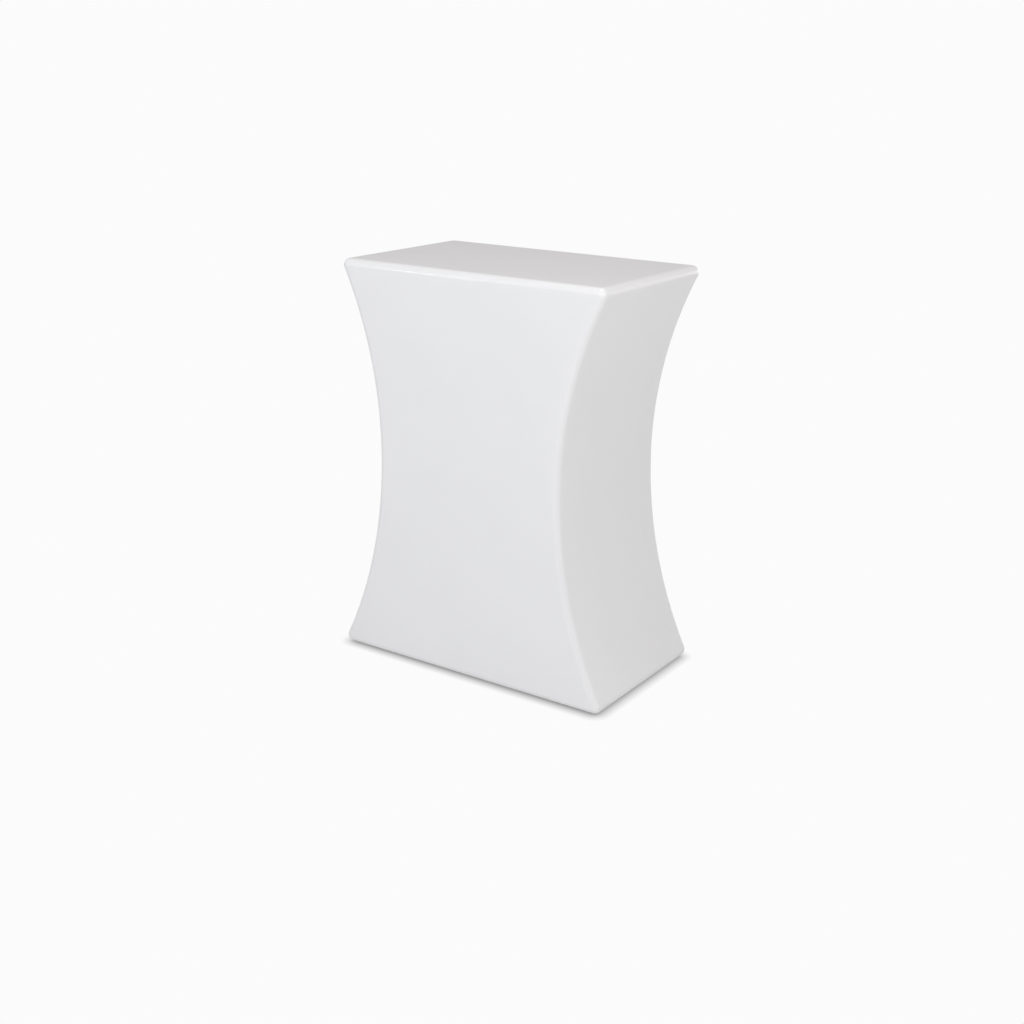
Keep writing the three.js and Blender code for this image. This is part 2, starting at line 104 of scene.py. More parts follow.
# %% The right end's core line
def side_point(angle):
    """Core point whose outward normal leans 'angle' above level: (x, z)."""
    radius = LOWER_ARC if angle > 0 else UPPER_ARC
    reach = radius + EDGE
    return WAIST_X + radius - reach * math.cos(angle), WAIST_Z - reach * math.sin(angle)


LEAN_TOP = math.asin((CORE_TOP - WAIST_Z) / (UPPER_ARC + EDGE))
LEAN_BOTTOM = math.asin((WAIST_Z - CORE_BOTTOM) / (LOWER_ARC + EDGE))
TOP_X = side_point(-LEAN_TOP)[0]
BOTTOM_X = side_point(LEAN_BOTTOM)[0]
print(f"core line: {2000 * TOP_X:.0f} mm wide on top, {2000 * BOTTOM_X:.0f} mm at the base")

# %% [markdown]
# ## Camera
# A normal lens a few metres away, a little to the right of the front and a little above the top.
# The tiny roll is part of the view.

# %% Camera
AZIMUTH = math.radians(34.21)
ELEVATION = math.radians(18.25)
ROLL = math.radians(0.72)
DISTANCE = 3.198
LENS_MM = 49.5
AIM = Vector((-0.0137, 0.0008, 0.3326))


def camera_matrix():
    """World matrix of a camera that looks at AIM, rolled about its own line of sight."""
    back = Vector((
        math.sin(AZIMUTH) * math.cos(ELEVATION),
        -math.cos(AZIMUTH) * math.cos(ELEVATION),
        math.sin(ELEVATION),
    ))
    level = Vector((math.cos(AZIMUTH), math.sin(AZIMUTH), 0))
    up = back.cross(level)
    right = math.cos(ROLL) * level + math.sin(ROLL) * up
    turned = Matrix((right, back.cross(right), back)).transposed().to_4x4()
    return Matrix.Translation(AIM + DISTANCE * back) @ turned


camera = bpy.data.objects.new("camera", bpy.data.cameras.new("camera"))
camera.data.lens = LENS_MM
camera.data.sensor_width = 36
camera.data.clip_start = 0.1
camera.data.clip_end = 60
camera.matrix_world = camera_matrix()
bpy.context.collection.objects.link(camera)
bpy.context.scene.camera = camera
print(f"camera: {LENS_MM} mm lens, {DISTANCE} m away")

# %% [markdown]
# ## Floor, wall and lights
# The table stands in a white studio with no line between floor and wall. The world is white to look
# at and darker to light with, so that the cloth keeps its shading. The floor glows just as white,
# and an Ambient Occlusion node darkens that glow close to the table, which paints the thin contact
# shadow of evenly lit studio work. For light that bounces, the same floor is a diffuse surface
# that also glows a little, which lights the table softly from below.


# %% Studio helpers
def value_of(node, name, value):
    """Sets a plain value on a node's own socket."""
    node.inputs[name].default_value = value


def wire(tree, *pairs):
    """Links each pair of an output and the input that it feeds."""
    for source, target in pairs:
        tree.links.new(source, target)


def grey(level):
    return (level, level, level, 1)


def new_material(name):
    """A material with an empty node tree."""
    material = bpy.data.materials.new(name)
    material.use_nodes = True
    material.node_tree.nodes.clear()
    return material, material.node_tree


def softbox(name, azimuth, elevation, distance, size, power, colour, aim=(0, 0, 0.45)):
    """Area light at a place round the table; azimuth 0 is in front and 90 to the right."""
    data = bpy.data.lights.new(name, "AREA")
    data.shape = "RECTANGLE"
    data.size, data.size_y = size
    data.energy = power
    data.color = colour
    lamp = bpy.data.objects.new(name, data)
    bpy.context.collection.objects.link(lamp)
    a, e = math.radians(azimuth), math.radians(elevation)
    away = Vector((math.sin(a) * math.cos(e), -math.cos(a) * math.cos(e), math.sin(e)))
    lamp.location = Vector(aim) + distance * away
    lamp.rotation_euler = away.to_track_quat("Z", "Y").to_euler()


# %% World: white to look at, darker to light with
WALL_WHITE = 0.966
WORLD_LIGHT = (0.460, 0.444, 0.443)
world = bpy.data.worlds.new("studio")
bpy.context.scene.world = world
world.use_nodes = True
tree = world.node_tree
tree.nodes.clear()
rays = tree.nodes.new("ShaderNodeLightPath")
lit = tree.nodes.new("ShaderNodeBackground")
seen = tree.nodes.new("ShaderNodeBackground")
value_of(lit, "Color", (*WORLD_LIGHT, 1))
value_of(seen, "Color", grey(WALL_WHITE))
choose = tree.nodes.new("ShaderNodeMixShader")
out = tree.nodes.new("ShaderNodeOutputWorld")
wire(
    tree,
    (rays.outputs["Is Camera Ray"], choose.inputs[0]),
    (lit.outputs[0], choose.inputs[1]),
    (seen.outputs[0], choose.inputs[2]),
    (choose.outputs[0], out.inputs[0]),
)
print("world: seen at", WALL_WHITE)

# %% Floor: white, with a thin painted shadow where the table stands and a faint glow that lights it
FLOOR_BOUNCE = 0.55
FLOOR_GLOW = 0.25
CONTACT_REACH = 0.024  # metres over which the contact shadow fades
CONTACT_DARK = 0.20  # the darkest that the contact shadow gets
CONTACT_FALL = 0.85  # below 1 the shadow fades sooner
FLOOR_HALF = 30

floor_material, tree = new_material("studio_floor")
rays = tree.nodes.new("ShaderNodeLightPath")
bounce = tree.nodes.new("ShaderNodeBsdfDiffuse")
value_of(bounce, "Color", grey(FLOOR_BOUNCE))
# Glow: for bounced light the floor also gives off a little light of its own, which lights the table
# from below.
lift = tree.nodes.new("ShaderNodeEmission")
value_of(lift, "Strength", FLOOR_GLOW)
pale_and_glowing = tree.nodes.new("ShaderNodeAddShader")
# Painted shadow: this AO darkens the white glow that the camera sees, close to the table.
contact = tree.nodes.new("ShaderNodeAmbientOcclusion")
contact.samples = 32
value_of(contact, "Distance", CONTACT_REACH)
fall = tree.nodes.new("ShaderNodeMath")
fall.operation = "POWER"
fall.inputs[1].default_value = CONTACT_FALL
shade = tree.nodes.new("ShaderNodeMapRange")
value_of(shade, "To Min", CONTACT_DARK)
value_of(shade, "To Max", WALL_WHITE)
white = tree.nodes.new("ShaderNodeEmission")
choose = tree.nodes.new("ShaderNodeMixShader")
out = tree.nodes.new("ShaderNodeOutputMaterial")
wire(
    tree,
    (bounce.outputs[0], pale_and_glowing.inputs[0]),
    (lift.outputs[0], pale_and_glowing.inputs[1]),
    (contact.outputs["AO"], fall.inputs[0]),
    (fall.outputs[0], shade.inputs["Value"]),
    (shade.outputs["Result"], white.inputs["Strength"]),
    (rays.outputs["Is Camera Ray"], choose.inputs[0]),
    (pale_and_glowing.outputs[0], choose.inputs[1]),
    (white.outputs[0], choose.inputs[2]),
    (choose.outputs[0], out.inputs[0]),
)
mesh = bpy.data.meshes.new("studio_floor")
corners = ((-1, -1), (1, -1), (1, 1), (-1, 1))
mesh.from_pydata([(x * FLOOR_HALF, y * FLOOR_HALF, 0) for x, y in corners], [], [(0, 1, 2, 3)])
mesh.materials.append(floor_material)
floor = bpy.data.objects.new("studio_floor", mesh)
bpy.context.collection.objects.link(floor)
print("floor:", 2 * FLOOR_HALF, "m across")

# %% Softboxes: azimuth, elevation, distance, size, power and colour
LIGHTS = {
    "key_strip": (-36, 15, 2.6, (0.35, 0.35), 4.6, (0.99, 1, 1.01)),
    "front_fill": (8, 28, 3.0, (1.6, 1.2), 18.6, (0.94, 1, 1.06)),
    "right_fill": (62, 24, 2.2, (1.2, 1.2), 11.6, (1.01, 1, 0.99)),
    "left_fill": (-46, 20, 2.8, (1.4, 1.4), 3.8, (0.985, 1, 1.015)),
    "overhead": (20, 82, 2.4, (1.4, 1.4), 13.4, (1.02, 1, 0.99)),
    "back_fill": (165, 8, 3.0, (1.6, 1.0), 16, (1, 1, 1)),
}
for name, (azimuth, elevation, distance, size, power, colour) in LIGHTS.items():
    softbox(name, azimuth, elevation, distance, size, power, colour)

view = bpy.context.scene.view_settings
view.view_transform = "Standard"
view.look = "None"
print("studio:", len(LIGHTS), "softboxes")

# %% [markdown]
# ## Cloth panels
# Each panel is one grid of quads. A point of the skin is given by a place on the core line, the
# direction 'lean' of the outline's normal there, and the angle 'roll' round the edge: 0 faces the
# front and 90 degrees faces away from the outline. Seams run half way round the edges. The skin
# dips a little towards each seam, because the cloth turns in there to be sewn.

# %% Skin of the rounded form
QUARTER = math.pi / 4
HALF_PI = math.pi / 2
SEAM_ROLL = QUARTER
SEAM_DIP = 0.22 * MM
SEAM_HALF = 0.6 * MM  # half width of the dip
CORNER_SEAMS = (-QUARTER, QUARTER, math.pi - QUARTER, math.pi + QUARTER)
NEAR_SEAM = (0, 0.015, 0.035, 0.06, 0.095)  # angles from a seam that get steps of their own
TINY = 1e-6  # lengths and angles below this count as nothing


def dip(distance, depth=SEAM_DIP, half=SEAM_HALF):
    """How far the skin drops at a distance from a seam."""
    return depth * math.exp(-((distance / half) ** 2))


def skin_point(x, z, lean, roll, facing):
    """Point of the skin round an edge. 'facing' is -1 at the front and 1 at the back."""
    to_seam = EDGE * abs(roll - SEAM_ROLL)
    if roll > SEAM_ROLL:
        to_corner = EDGE * math.sin(roll) * min(abs(lean - seam) for seam in CORNER_SEAMS)
        to_seam = min(to_seam, to_corner)
    radius = EDGE - dip(to_seam)
    out = radius * math.sin(roll)
    return (
        x + out * math.cos(lean),
        facing * (CORE_Y + radius * math.cos(roll)),
        z + out * math.sin(lean),
    )


def eased(count, start, end, seam):
    """Steps from start to end, with extra ones close to a seam's angle."""
    steps = set(np.linspace(start, end, count + 1))
    for near in NEAR_SEAM:
        steps |= {seam - near, seam + near}
    kept = []
    for step in sorted(s for s in steps if start - 1e-9 <= s <= end + 1e-9):
        if not kept or step - kept[-1] > 1e-3:
            kept.append(float(step))
    return kept


# %% Places round the outline
ACROSS = 36  # quads along the top and the bottom
UP = 56  # quads up each end
CORNER_STEPS = 12  # steps round a corner of the outline
ROLL_STEPS = 7  # steps from the flat part of a panel to its seam


def lean_at(z):
    """Lean of the outline's normal at a height of the core line."""
    radius = LOWER_ARC if z < WAIST_Z else UPPER_ARC
    return math.asin((WAIST_Z - z) / (radius + EDGE))


def half_width(z):
    """Half width of the core line at a height."""
    return side_point(lean_at(z))[0]


def right_places(leans):
    """(x, z, lean) up the right end, from facing down under the base to facing up on top. The
    side has a place at each of these leans."""
    low_turn = eased(CORNER_STEPS, -HALF_PI, LEAN_BOTTOM, -QUARTER)
    high_turn = eased(CORNER_STEPS, -LEAN_TOP, HALF_PI, QUARTER)
    side = [(*side_point(lean), float(lean)) for lean in leans]
    base = [(BOTTOM_X, CORE_BOTTOM, lean) for lean in low_turn]
    return base + side[1:-1] + [(TOP_X, CORE_TOP, lean) for lean in high_turn]


def mirrored(places):
    """The same places on the left end, from the top down."""
    return [(-x, z, math.pi - lean) for x, z, lean in reversed(places)]


def level_places(z, half, lean, rightwards):
    """Places along the top or the bottom, without the two ends."""
    xs = np.linspace(-half, half, ACROSS + 1)[1:-1]
    return [(float(x if rightwards else -x), z, lean) for x in xs]


SIDE_LEANS = np.linspace(LEAN_BOTTOM, -LEAN_TOP, UP + 1)
RIGHT = right_places(SIDE_LEANS)
BOTTOM_LINE = level_places(CORE_BOTTOM, BOTTOM_X, -HALF_PI, True)
TOP_LINE = level_places(CORE_TOP, TOP_X, HALF_PI, False)
LOOP = BOTTOM_LINE + RIGHT + TOP_LINE + mirrored(RIGHT)
print("outline:", len(LOOP), "places")


# %% Mesh helpers
MIDDLE = Vector((0, 0, 0.45))
MERGE = 2e-6  # points closer than this become one
BEVEL_TURN = math.radians(40)  # a bevel leaves edges that turn by less
SHARP_TURN = math.radians(35)  # edges that turn by more are shaded sharp


def new_piece(name, verts, faces, uvs=None, outward=MIDDLE, smooth=True):
    """Mesh object with doubles merged. An open skin's faces turn away from 'outward', and a closed
    one needs None there. uvs is one pair for each point."""
    mesh = bpy.data.meshes.new(name)
    mesh.from_pydata([tuple(v) for v in verts], [], faces)
    if uvs is not None:
        layer = mesh.uv_layers.new(name="cloth_uv")
        for loop in mesh.loops:
            layer.data[loop.index].uv = uvs[loop.vertex_index]
    bm = bmesh.new()
    bm.from_mesh(mesh)
    bmesh.ops.remove_doubles(bm, verts=bm.verts, dist=MERGE)
    bmesh.ops.dissolve_degenerate(bm, edges=bm.edges, dist=1e-7)
    bmesh.ops.recalc_face_normals(bm, faces=bm.faces)
    if outward is not None:
        away = sum(f.calc_area() * f.normal.dot(f.calc_center_median() - outward) for f in bm.faces)
        if away < 0:
            bmesh.ops.reverse_faces(bm, faces=bm.faces)
    bm.to_mesh(mesh)
    bm.free()
    if smooth:
        mesh.shade_smooth()
    piece = bpy.data.objects.new(name, mesh)
    bpy.context.collection.objects.link(piece)
    return piece


def grid_faces(rows, columns, closed=False, start=0, flip=False):
    """Quads of a grid of rows by columns points; 'closed' joins the last row to the first."""
    faces = []
    for r in range(rows if closed else rows - 1):
        for c in range(columns - 1):
            a = start + r * columns + c
            b = start + ((r + 1) % rows) * columns + c
            quad = (a, b, b + 1, a + 1)
            faces.append(quad[::-1] if flip else quad)
    return faces


def ring_faces(rings, around, closed=False):
    """Faces of a tube of rings of points, capped at both ends or closed in a loop."""
    faces = []
    for r in range(rings if closed else rings - 1):
        s = (r + 1) % rings
        for k in range(around):
            m = (k + 1) % around
            faces.append((r * around + k, r * around + m, s * around + m, s * around + k))
    if not closed:
        faces.append(tuple(reversed(range(around))))
        faces.append(tuple(range((rings - 1) * around, rings * around)))
    return faces


def circle(sides):
    """Cosine and sine at even steps round a circle."""
    angles = [2 * math.pi * k / sides for k in range(sides)]
    return [(math.cos(angle), math.sin(angle)) for angle in angles]


def settle(piece):
    """Applies every modifier, so that the piece is a plain mesh."""
    bpy.context.view_layer.update()
    evaluated = piece.evaluated_get(bpy.context.evaluated_depsgraph_get())
    plain = bpy.data.meshes.new_from_object(evaluated)
    piece.modifiers.clear()
    piece.data = plain
    return piece


def bevelled(piece, width, segments=3, every_edge=False):
    """Rounds a piece's edges, either every one or only those that turn by a good angle."""
    bevel = piece.modifiers.new("edges", "BEVEL")
    bevel.width = width
    bevel.segments = segments
    bevel.limit_method = "NONE" if every_edge else "ANGLE"
    bevel.angle_limit = BEVEL_TURN
    return settle(piece)


def surface_area(piece):
    return sum(face.area for face in piece.data.polygons)


def give_thickness(piece, thickness):
    """Turns a skin into a closed shell, with all its thickness on the inside."""
    wall = piece.modifiers.new("wall", "SOLIDIFY")
    wall.thickness = thickness
    wall.offset = -1
    return settle(piece)


# %% Front panel
def panel_heights():
    """Heights of a face panel's rows, spaced as the places up the ends are."""
    return [side_point(lean)[1] for lean in SIDE_LEANS]


def rim(places, facing, start, closed):
    """Points, faces and cloth places of a face panel's rim, from its flat part to its seam."""
    rolls = eased(ROLL_STEPS, 0, SEAM_ROLL, SEAM_ROLL)
    verts, uvs = [], []
    for x, z, lean in places:
        for roll in rolls:
            verts.append(skin_point(x, z, lean, roll, facing))
            uvs.append((x + EDGE * roll * math.cos(lean), z + EDGE * roll * math.sin(lean)))
    faces = grid_faces(len(places), len(rolls), closed, start, flip=facing > 0)
    return verts, faces, uvs


def front_panel():
    """The flat face, then the rim that rolls back to the seam."""
    verts, uvs = [], []
    for z in panel_heights():
        half = half_width(z)
        for x in np.linspace(-half, half, ACROSS + 1):
            verts.append((x, -FACE_Y, z))
            uvs.append((x, z))
    faces = grid_faces(UP + 1, ACROSS + 1, flip=True)
    more_verts, more_faces, more_uvs = rim(LOOP, -1, len(verts), True)
    return new_piece("cloth_front", verts + more_verts, faces + more_faces, uvs + more_uvs)


front = front_panel()
print("front panel:", len(front.data.polygons), "quads")

# %% [markdown]
# ## Back panels and the zip opening
# The back is cut in two halves. They are sewn together near the top and near the floor, and a long
# zip joins them in between. Each half has a folded edge beside the zip. A face is made of rows
# across, so the opening is made by moving the inner end of each row away from the middle.

# %% Back halves
zip_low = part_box("zip_stringer_left")[0].z
zip_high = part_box("zip_stringer_left")[1].z
SLOT_HALF = 4 * MM
SLOT_ROUND = 3 * MM  # length over which the two folds meet, at both ends of the zip
FOLD = ((0, 0.55), (0.12, 0.30), (0.35, 0.10), (0.8, 0.0))  # mm from the edge, mm of drop
SEAM_FOLD = 0.5  # share of the fold's drop where the halves are sewn together


def slot_half(z):
    """Half width of the zip's opening at a height."""
    inside = min(z - zip_low, zip_high - z)
    if inside <= 0:
        return 0.0
    if inside >= SLOT_ROUND:
        return SLOT_HALF
    return SLOT_HALF * math.sqrt(1 - (1 - inside / SLOT_ROUND) ** 2)


def half_columns(inner, outer):
    """Distances from the middle of the back, close together at the folded edge."""
    near = [inner + mm * MM for mm, _ in FOLD] + [inner + 2 * MM, inner + 5 * MM]
    far = np.linspace(inner + 5 * MM, outer, ACROSS // 2 + 1)[1:]
    return near + [float(x) for x in far]


def fold_drop(column):
    return FOLD[column][1] * MM if column < len(FOLD) else 0.0


def back_half(name, side):
    """Half of the back: side 1 is at +X, and -1 is its mirror image."""
    heights = set(round(z, 6) for z in panel_heights())
    for end, way in ((zip_low, 1), (zip_high, -1)):
        heights |= {round(end + way * step * MM, 6) for step in (-1, 0, 0.15, 0.6, 1.5, 3, 6)}
    heights = sorted(heights)
    verts, uvs = [], []
    for z in heights:
        inner = slot_half(z)
        share = SEAM_FOLD + (1 - SEAM_FOLD) * inner / SLOT_HALF
        for column, x in enumerate(half_columns(inner, half_width(z))):
            verts.append((side * x, FACE_Y - share * fold_drop(column), z))
            uvs.append((side * x, z))
    columns = len(half_columns(0, TOP_X))
    faces = grid_faces(len(heights), columns, flip=side < 0)
    top_edge = [(x, CORE_TOP, HALF_PI) for x in reversed(half_columns(0, TOP_X))]
    low_edge = [(x, CORE_BOTTOM, -HALF_PI) for x in half_columns(0, BOTTOM_X)]
    places = low_edge[:-1] + right_places([lean_at(z) for z in heights]) + top_edge[1:]
    if side < 0:
        places = [(-x, z, math.pi - lean) for x, z, lean in places]
    rim_verts, rim_faces, rim_uvs = rim(places, 1, len(verts), False)
    if side < 0:
        rim_faces = [face[::-1] for face in rim_faces]
    steps = len(rim_verts) // len(places)
    for place, (x, z, lean) in enumerate(places):
        column = round_column(abs(x), lean)
        for step in range(steps):
            at = place * steps + step
            px, py, pz = rim_verts[at]
            rim_verts[at] = (px, py - SEAM_FOLD * fold_drop(column) * (1 - step / (steps - 1)), pz)
    return new_piece(name, verts + rim_verts, faces + rim_faces, uvs + rim_uvs)


def round_column(x, lean):
    """Which column of the back a place on the level edges is in; far ones have no fold."""
    if abs(abs(lean) - HALF_PI) > TINY and abs(lean - 3 * HALF_PI) > TINY:
        return len(FOLD)
    for column, (mm, _) in enumerate(FOLD):
        if abs(x - mm * MM) < 1e-7:
            return column
    return len(FOLD)


back_right = back_half("cloth_back_right", 1)
back_left = back_half("cloth_back_left", -1)
print("back halves:", len(back_right.data.polygons), len(back_left.data.polygons), "quads")


# %% [markdown]
# ## Panels that run from front to back
# The top, the two ends and the border under the base go from the front seam to the back seam. They
# meet each other at the corners. The border turns in under the base and stops at the hem.

# %% Band panels
def band_panel(name, places, depth_steps):
    """Panel between the front and back seams, along part of the outline."""
    rolls = eased(ROLL_STEPS, SEAM_ROLL, HALF_PI, SEAM_ROLL)
    flat = np.linspace(-CORE_Y, CORE_Y, depth_steps + 1)[1:-1]
    across = [-CORE_Y - EDGE * (HALF_PI - roll) for roll in rolls]
    across += [float(y) for y in flat]
    across += [CORE_Y + EDGE * (HALF_PI - roll) for roll in reversed(rolls)]
    verts, uvs = [], []
    along = 0
    before = None
    for x, z, lean in places:
        level = skin_point(x, z, lean, HALF_PI, -1)
        row = [skin_point(x, z, lean, roll, -1) for roll in rolls]
        row += [(level[0], float(y), level[2]) for y in flat]
        row += [skin_point(x, z, lean, roll, 1) for roll in reversed(rolls)]
        if before is not None:
            along += math.dist(level, before)
        before = level
        verts += row
        uvs += [(y, along) for y in across]
    return new_piece(name, verts, grid_faces(len(places), len(across)), uvs)


DEPTH_STEPS = 28
end_places = [p for p in RIGHT if -QUARTER - TINY <= p[2] <= QUARTER + TINY]
right_end = band_panel("cloth_right_end", end_places, DEPTH_STEPS)
left_end = band_panel("cloth_left_end", mirrored(end_places), DEPTH_STEPS)
top_corner = [p for p in RIGHT if p[2] >= QUARTER - TINY]
top = band_panel("cloth_top", top_corner + TOP_LINE + mirrored(top_corner), DEPTH_STEPS)
print("bands:", [len(p.data.polygons) for p in (right_end, left_end, top)], "quads")

# %% [markdown]
# ## The ends, pulled tight
# Cloth that spans a hollow curve doesn't lie on straight lines from edge to edge. Its pull along
# the curve lifts the middle off a little, as on a trampoline. A short cloth simulation finds that
# shape: the edges are held, the panel shrinks, and gravity is off. The lift is capped.

# %% Cloth simulation of the end panels
LIFT_CAP = 3 * MM
PULL = {
    "quality": 6,
    "mass": 0.05,
    "tension_stiffness": 25,
    "compression_stiffness": 25,
    "shear_stiffness": 8,
    "bending_stiffness": 0.02,
    "shrink_min": 0.04,
}


def pulled_tight(piece, frames=20):
    """Simulates the free middle of an end panel and keeps the shape."""
    start = [v.co.copy() for v in piece.data.vertices]
    held = [v.index for v in piece.data.vertices
            if abs(v.co.y) > CORE_Y - TINY or not CORE_BOTTOM < v.co.z < CORE_TOP]
    group = piece.vertex_groups.new(name="held")
    group.add(held, 1.0, "REPLACE")
    cloth = piece.modifiers.new("pull", "CLOTH")
    cloth.settings.vertex_group_mass = "held"
    for setting, value in PULL.items():
        setattr(cloth.settings, setting, value)
    cloth.settings.effector_weights.gravity = 0
    cloth.collision_settings.use_collision = False
    scene = bpy.context.scene
    for step in range(1, frames + 1):
        scene.frame_set(step)
    evaluated = piece.evaluated_get(bpy.context.evaluated_depsgraph_get())
    moves = [p.co - s for p, s in zip(evaluated.data.vertices, start)]
    piece.modifiers.clear()
    piece.vertex_groups.clear()
    scene.frame_set(1)
    longest = max(move.length for move in moves)
    share = min(1, LIFT_CAP / longest) if longest else 0
    for vertex, place, move in zip(piece.data.vertices, start, moves):
        vertex.co = place + move * share
    print(f"{piece.name}: lifted {1000 * longest:.2f} mm, kept {1000 * longest * share:.2f} mm")


for panel in (right_end, left_end):
    pulled_tight(panel)

# %% [markdown]
# ## Border and hem under the base
# The border is sewn to the other panels along the bottom edge and lies flat under the base. Its
# inner edge is folded into a tunnel for the elastic, which gathers it into small even puckers.

# %% Border
opening_low, opening_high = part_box("hem_band")
BAND_WIDTH = 7.4 * MM
HEM_X = opening_high.x  # outer half sizes of the hem
HEM_Y = opening_high.y
HEM_CORNER = 20 * MM
HEM_LOW = opening_low.z
HEM_HIGH = opening_high.z


def rounded_loop(half_x, half_y, corner, z, straight_x=44, straight_y=24, turn=10):
    """Points round a rectangle with round corners, anticlockwise from the middle of +X's side."""
    points = []
    centres = ((1, 1, 0), (-1, 1, 1), (-1, -1, 2), (1, -1, 3))
    for sx, sy, quarter in centres:
        cx, cy = sx * (half_x - corner), sy * (half_y - corner)
        for step in range(turn + 1):
            angle = (quarter + step / turn) * HALF_PI
            points.append((cx + corner * math.cos(angle), cy + corner * math.sin(angle), z))
        count = straight_x if quarter % 2 == 0 else straight_y
        ahead = centres[(quarter + 1) % 4]
        nx, ny = ahead[0] * (half_x - corner), ahead[1] * (half_y - corner)
        start = points[-1]
        angle = (quarter + 1) * HALF_PI
        goal = (nx + corner * math.cos(angle), ny + corner * math.sin(angle), z)
        for step in range(1, count):
            share = step / count
            points.append(tuple(s + (g - s) * share for s, g in zip(start, goal)))
    return points


def border_panel():
    """Rolls in from the seams at the bottom edge, then lies flat as far as the hem."""
    corner = [p for p in RIGHT if p[2] <= -QUARTER + TINY]
    places = mirrored(corner) + BOTTOM_LINE + corner
    places = [p for i, p in enumerate(places) if i == 0 or p != places[i - 1]]
    rolls = eased(ROLL_STEPS, SEAM_ROLL, HALF_PI, SEAM_ROLL)
    verts, uvs, faces = [], [], []
    for facing in (-1, 1):
        start = len(verts)
        for x, z, lean in places:
            for roll in rolls:
                verts.append(skin_point(x, z, lean, roll, facing))
                uvs.append((x, facing * (CORE_Y + EDGE * (HALF_PI - roll))))
        faces += grid_faces(len(places), len(rolls), start=start, flip=facing > 0)
    for end in (mirrored(corner), corner):
        start = len(verts)
        for x, z, lean in end:
            level = skin_point(x, z, lean, HALF_PI, -1)
            for y in np.linspace(-CORE_Y, CORE_Y, DEPTH_STEPS + 1):
                verts.append((level[0], float(y), level[2]))
                uvs.append((level[0], float(y)))
        faces += grid_faces(len(end), DEPTH_STEPS + 1, start=start)
    return verts, faces, uvs


def border_floor():
    """Flat ring under the base, from the bottom edge's flat line to the hem."""
    level_x = [p[0] for p in BOTTOM_LINE]
    outer = [(BOTTOM_X, float(y)) for y in np.linspace(0, CORE_Y, DEPTH_STEPS // 2 + 1)]
    outer += [(x, CORE_Y) for x in reversed(level_x)]
    outer += [(-BOTTOM_X, float(y)) for y in np.linspace(CORE_Y, -CORE_Y, DEPTH_STEPS + 1)]
    outer += [(x, -CORE_Y) for x in level_x]
    outer += [(BOTTOM_X, float(y)) for y in np.linspace(-CORE_Y, 0, DEPTH_STEPS // 2 + 1)][:-1]
    rows = []
    inner_x, inner_y = HEM_X + 0.3 * MM, HEM_Y + 0.3 * MM
    for share in (0, 0.25, 0.5, 0.75, 0.9, 1):
        row = []
        for x, y in outer:
            angle = math.atan2(y / CORE_Y, x / BOTTOM_X)
            tx, ty = hem_place(angle, inner_x, inner_y)
            row.append((x + (tx - x) * share, y + (ty - y) * share))
        rows.append(row)
    verts = [(x, y, BOTTOM + dip_in(i)) for i, row in enumerate(rows) for x, y in row]
    uvs = [(x, y) for row in rows for x, y in row]
    count = len(outer)
    faces = []
    for r in range(len(rows) - 1):
        for c in range(count):
            d = (c + 1) % count
            faces.append((r * count + c, (r + 1) * count + c, (r + 1) * count + d, r * count + d))
    return verts, faces, uvs


def dip_in(row):
    """The border rises a little where it goes into the hem."""
    return (0, 0, 0, 0, 0.05, 0.25)[row] * MM


def hem_place(angle, half_x, half_y):
    """Point of the hem's rounded rectangle in a direction, as seen on a square."""
    c, s = math.cos(angle), math.sin(angle)
    stretch = 1 / max(abs(c), abs(s))
    x, y = c * stretch * half_x, s * stretch * half_y
    ax, ay = abs(x), abs(y)
    cx, cy = half_x - HEM_CORNER, half_y - HEM_CORNER
    if ax > cx and ay > cy:
        reach = math.hypot(ax - cx, ay - cy)
        ax = cx + HEM_CORNER * (ax - cx) / reach
        ay = cy + HEM_CORNER * (ay - cy) / reach
    return math.copysign(ax, x), math.copysign(ay, y)


def joined(*parts):
    """Verts, faces and uvs of several parts as one."""
    verts, faces, uvs = [], [], []
    for part_verts, part_faces, part_uvs in parts:
        faces += [tuple(len(verts) + i for i in face) for face in part_faces]
        verts += part_verts
        uvs += part_uvs
    return verts, faces, uvs


border = new_piece("cloth_base_border", *joined(border_panel(), border_floor()))
print("border:", len(border.data.polygons), "quads")


# %% Hem with puckers
PUCKER = 0.35 * MM
PUCKERS_PER_METRE = 95
HEM_SIDES = 20  # points round the tunnel's section
SQUARENESS = 0.55  # 1 would make the section an ellipse, and near 0 a box


def hem_tube():
    """The tunnel: a rounded strip section swept round the opening, with gathers."""
    half_w, half_h = BAND_WIDTH / 2, (HEM_HIGH - HEM_LOW) / 2
    loop = rounded_loop(HEM_X - half_w, HEM_Y - half_w, HEM_CORNER - half_w, 0, 300, 160, 28)
    section = []
    for c, s in circle(HEM_SIDES):
        u, v = abs(c) ** SQUARENESS, abs(s) ** SQUARENESS
        section.append((math.copysign(u, c), math.copysign(v, s)))
    verts, uvs = [], []
    along = 0
    count = len(loop)
    rng = np.random.default_rng(7)
    jitter = np.convolve(rng.normal(0, 1, count + 40), np.ones(41) / 41, "valid")
    for i, (x, y, _) in enumerate(loop):
        ahead, behind = loop[(i + 1) % count], loop[i - 1]
        tx, ty = ahead[0] - behind[0], ahead[1] - behind[1]
        length = math.hypot(tx, ty)
        nx, ny = ty / length, -tx / length
        wave = math.sin(2 * math.pi * PUCKERS_PER_METRE * along + 4 * jitter[i])
        for j, (u, v) in enumerate(section):
            squeeze = PUCKER * (0.5 + 0.5 * wave) * (0.6 + 0.4 * math.cos(3 * j))
            out = u * (half_w - squeeze)
            level = (HEM_LOW + HEM_HIGH) / 2 + v * (half_h - squeeze)
            verts.append((x + nx * out, y + ny * out, level))
            uvs.append((along, (j / HEM_SIDES) * 2 * (BAND_WIDTH + 2 * half_h)))
        along += math.hypot(ahead[0] - x, ahead[1] - y)
    return verts, ring_faces(count, HEM_SIDES, closed=True), uvs, along


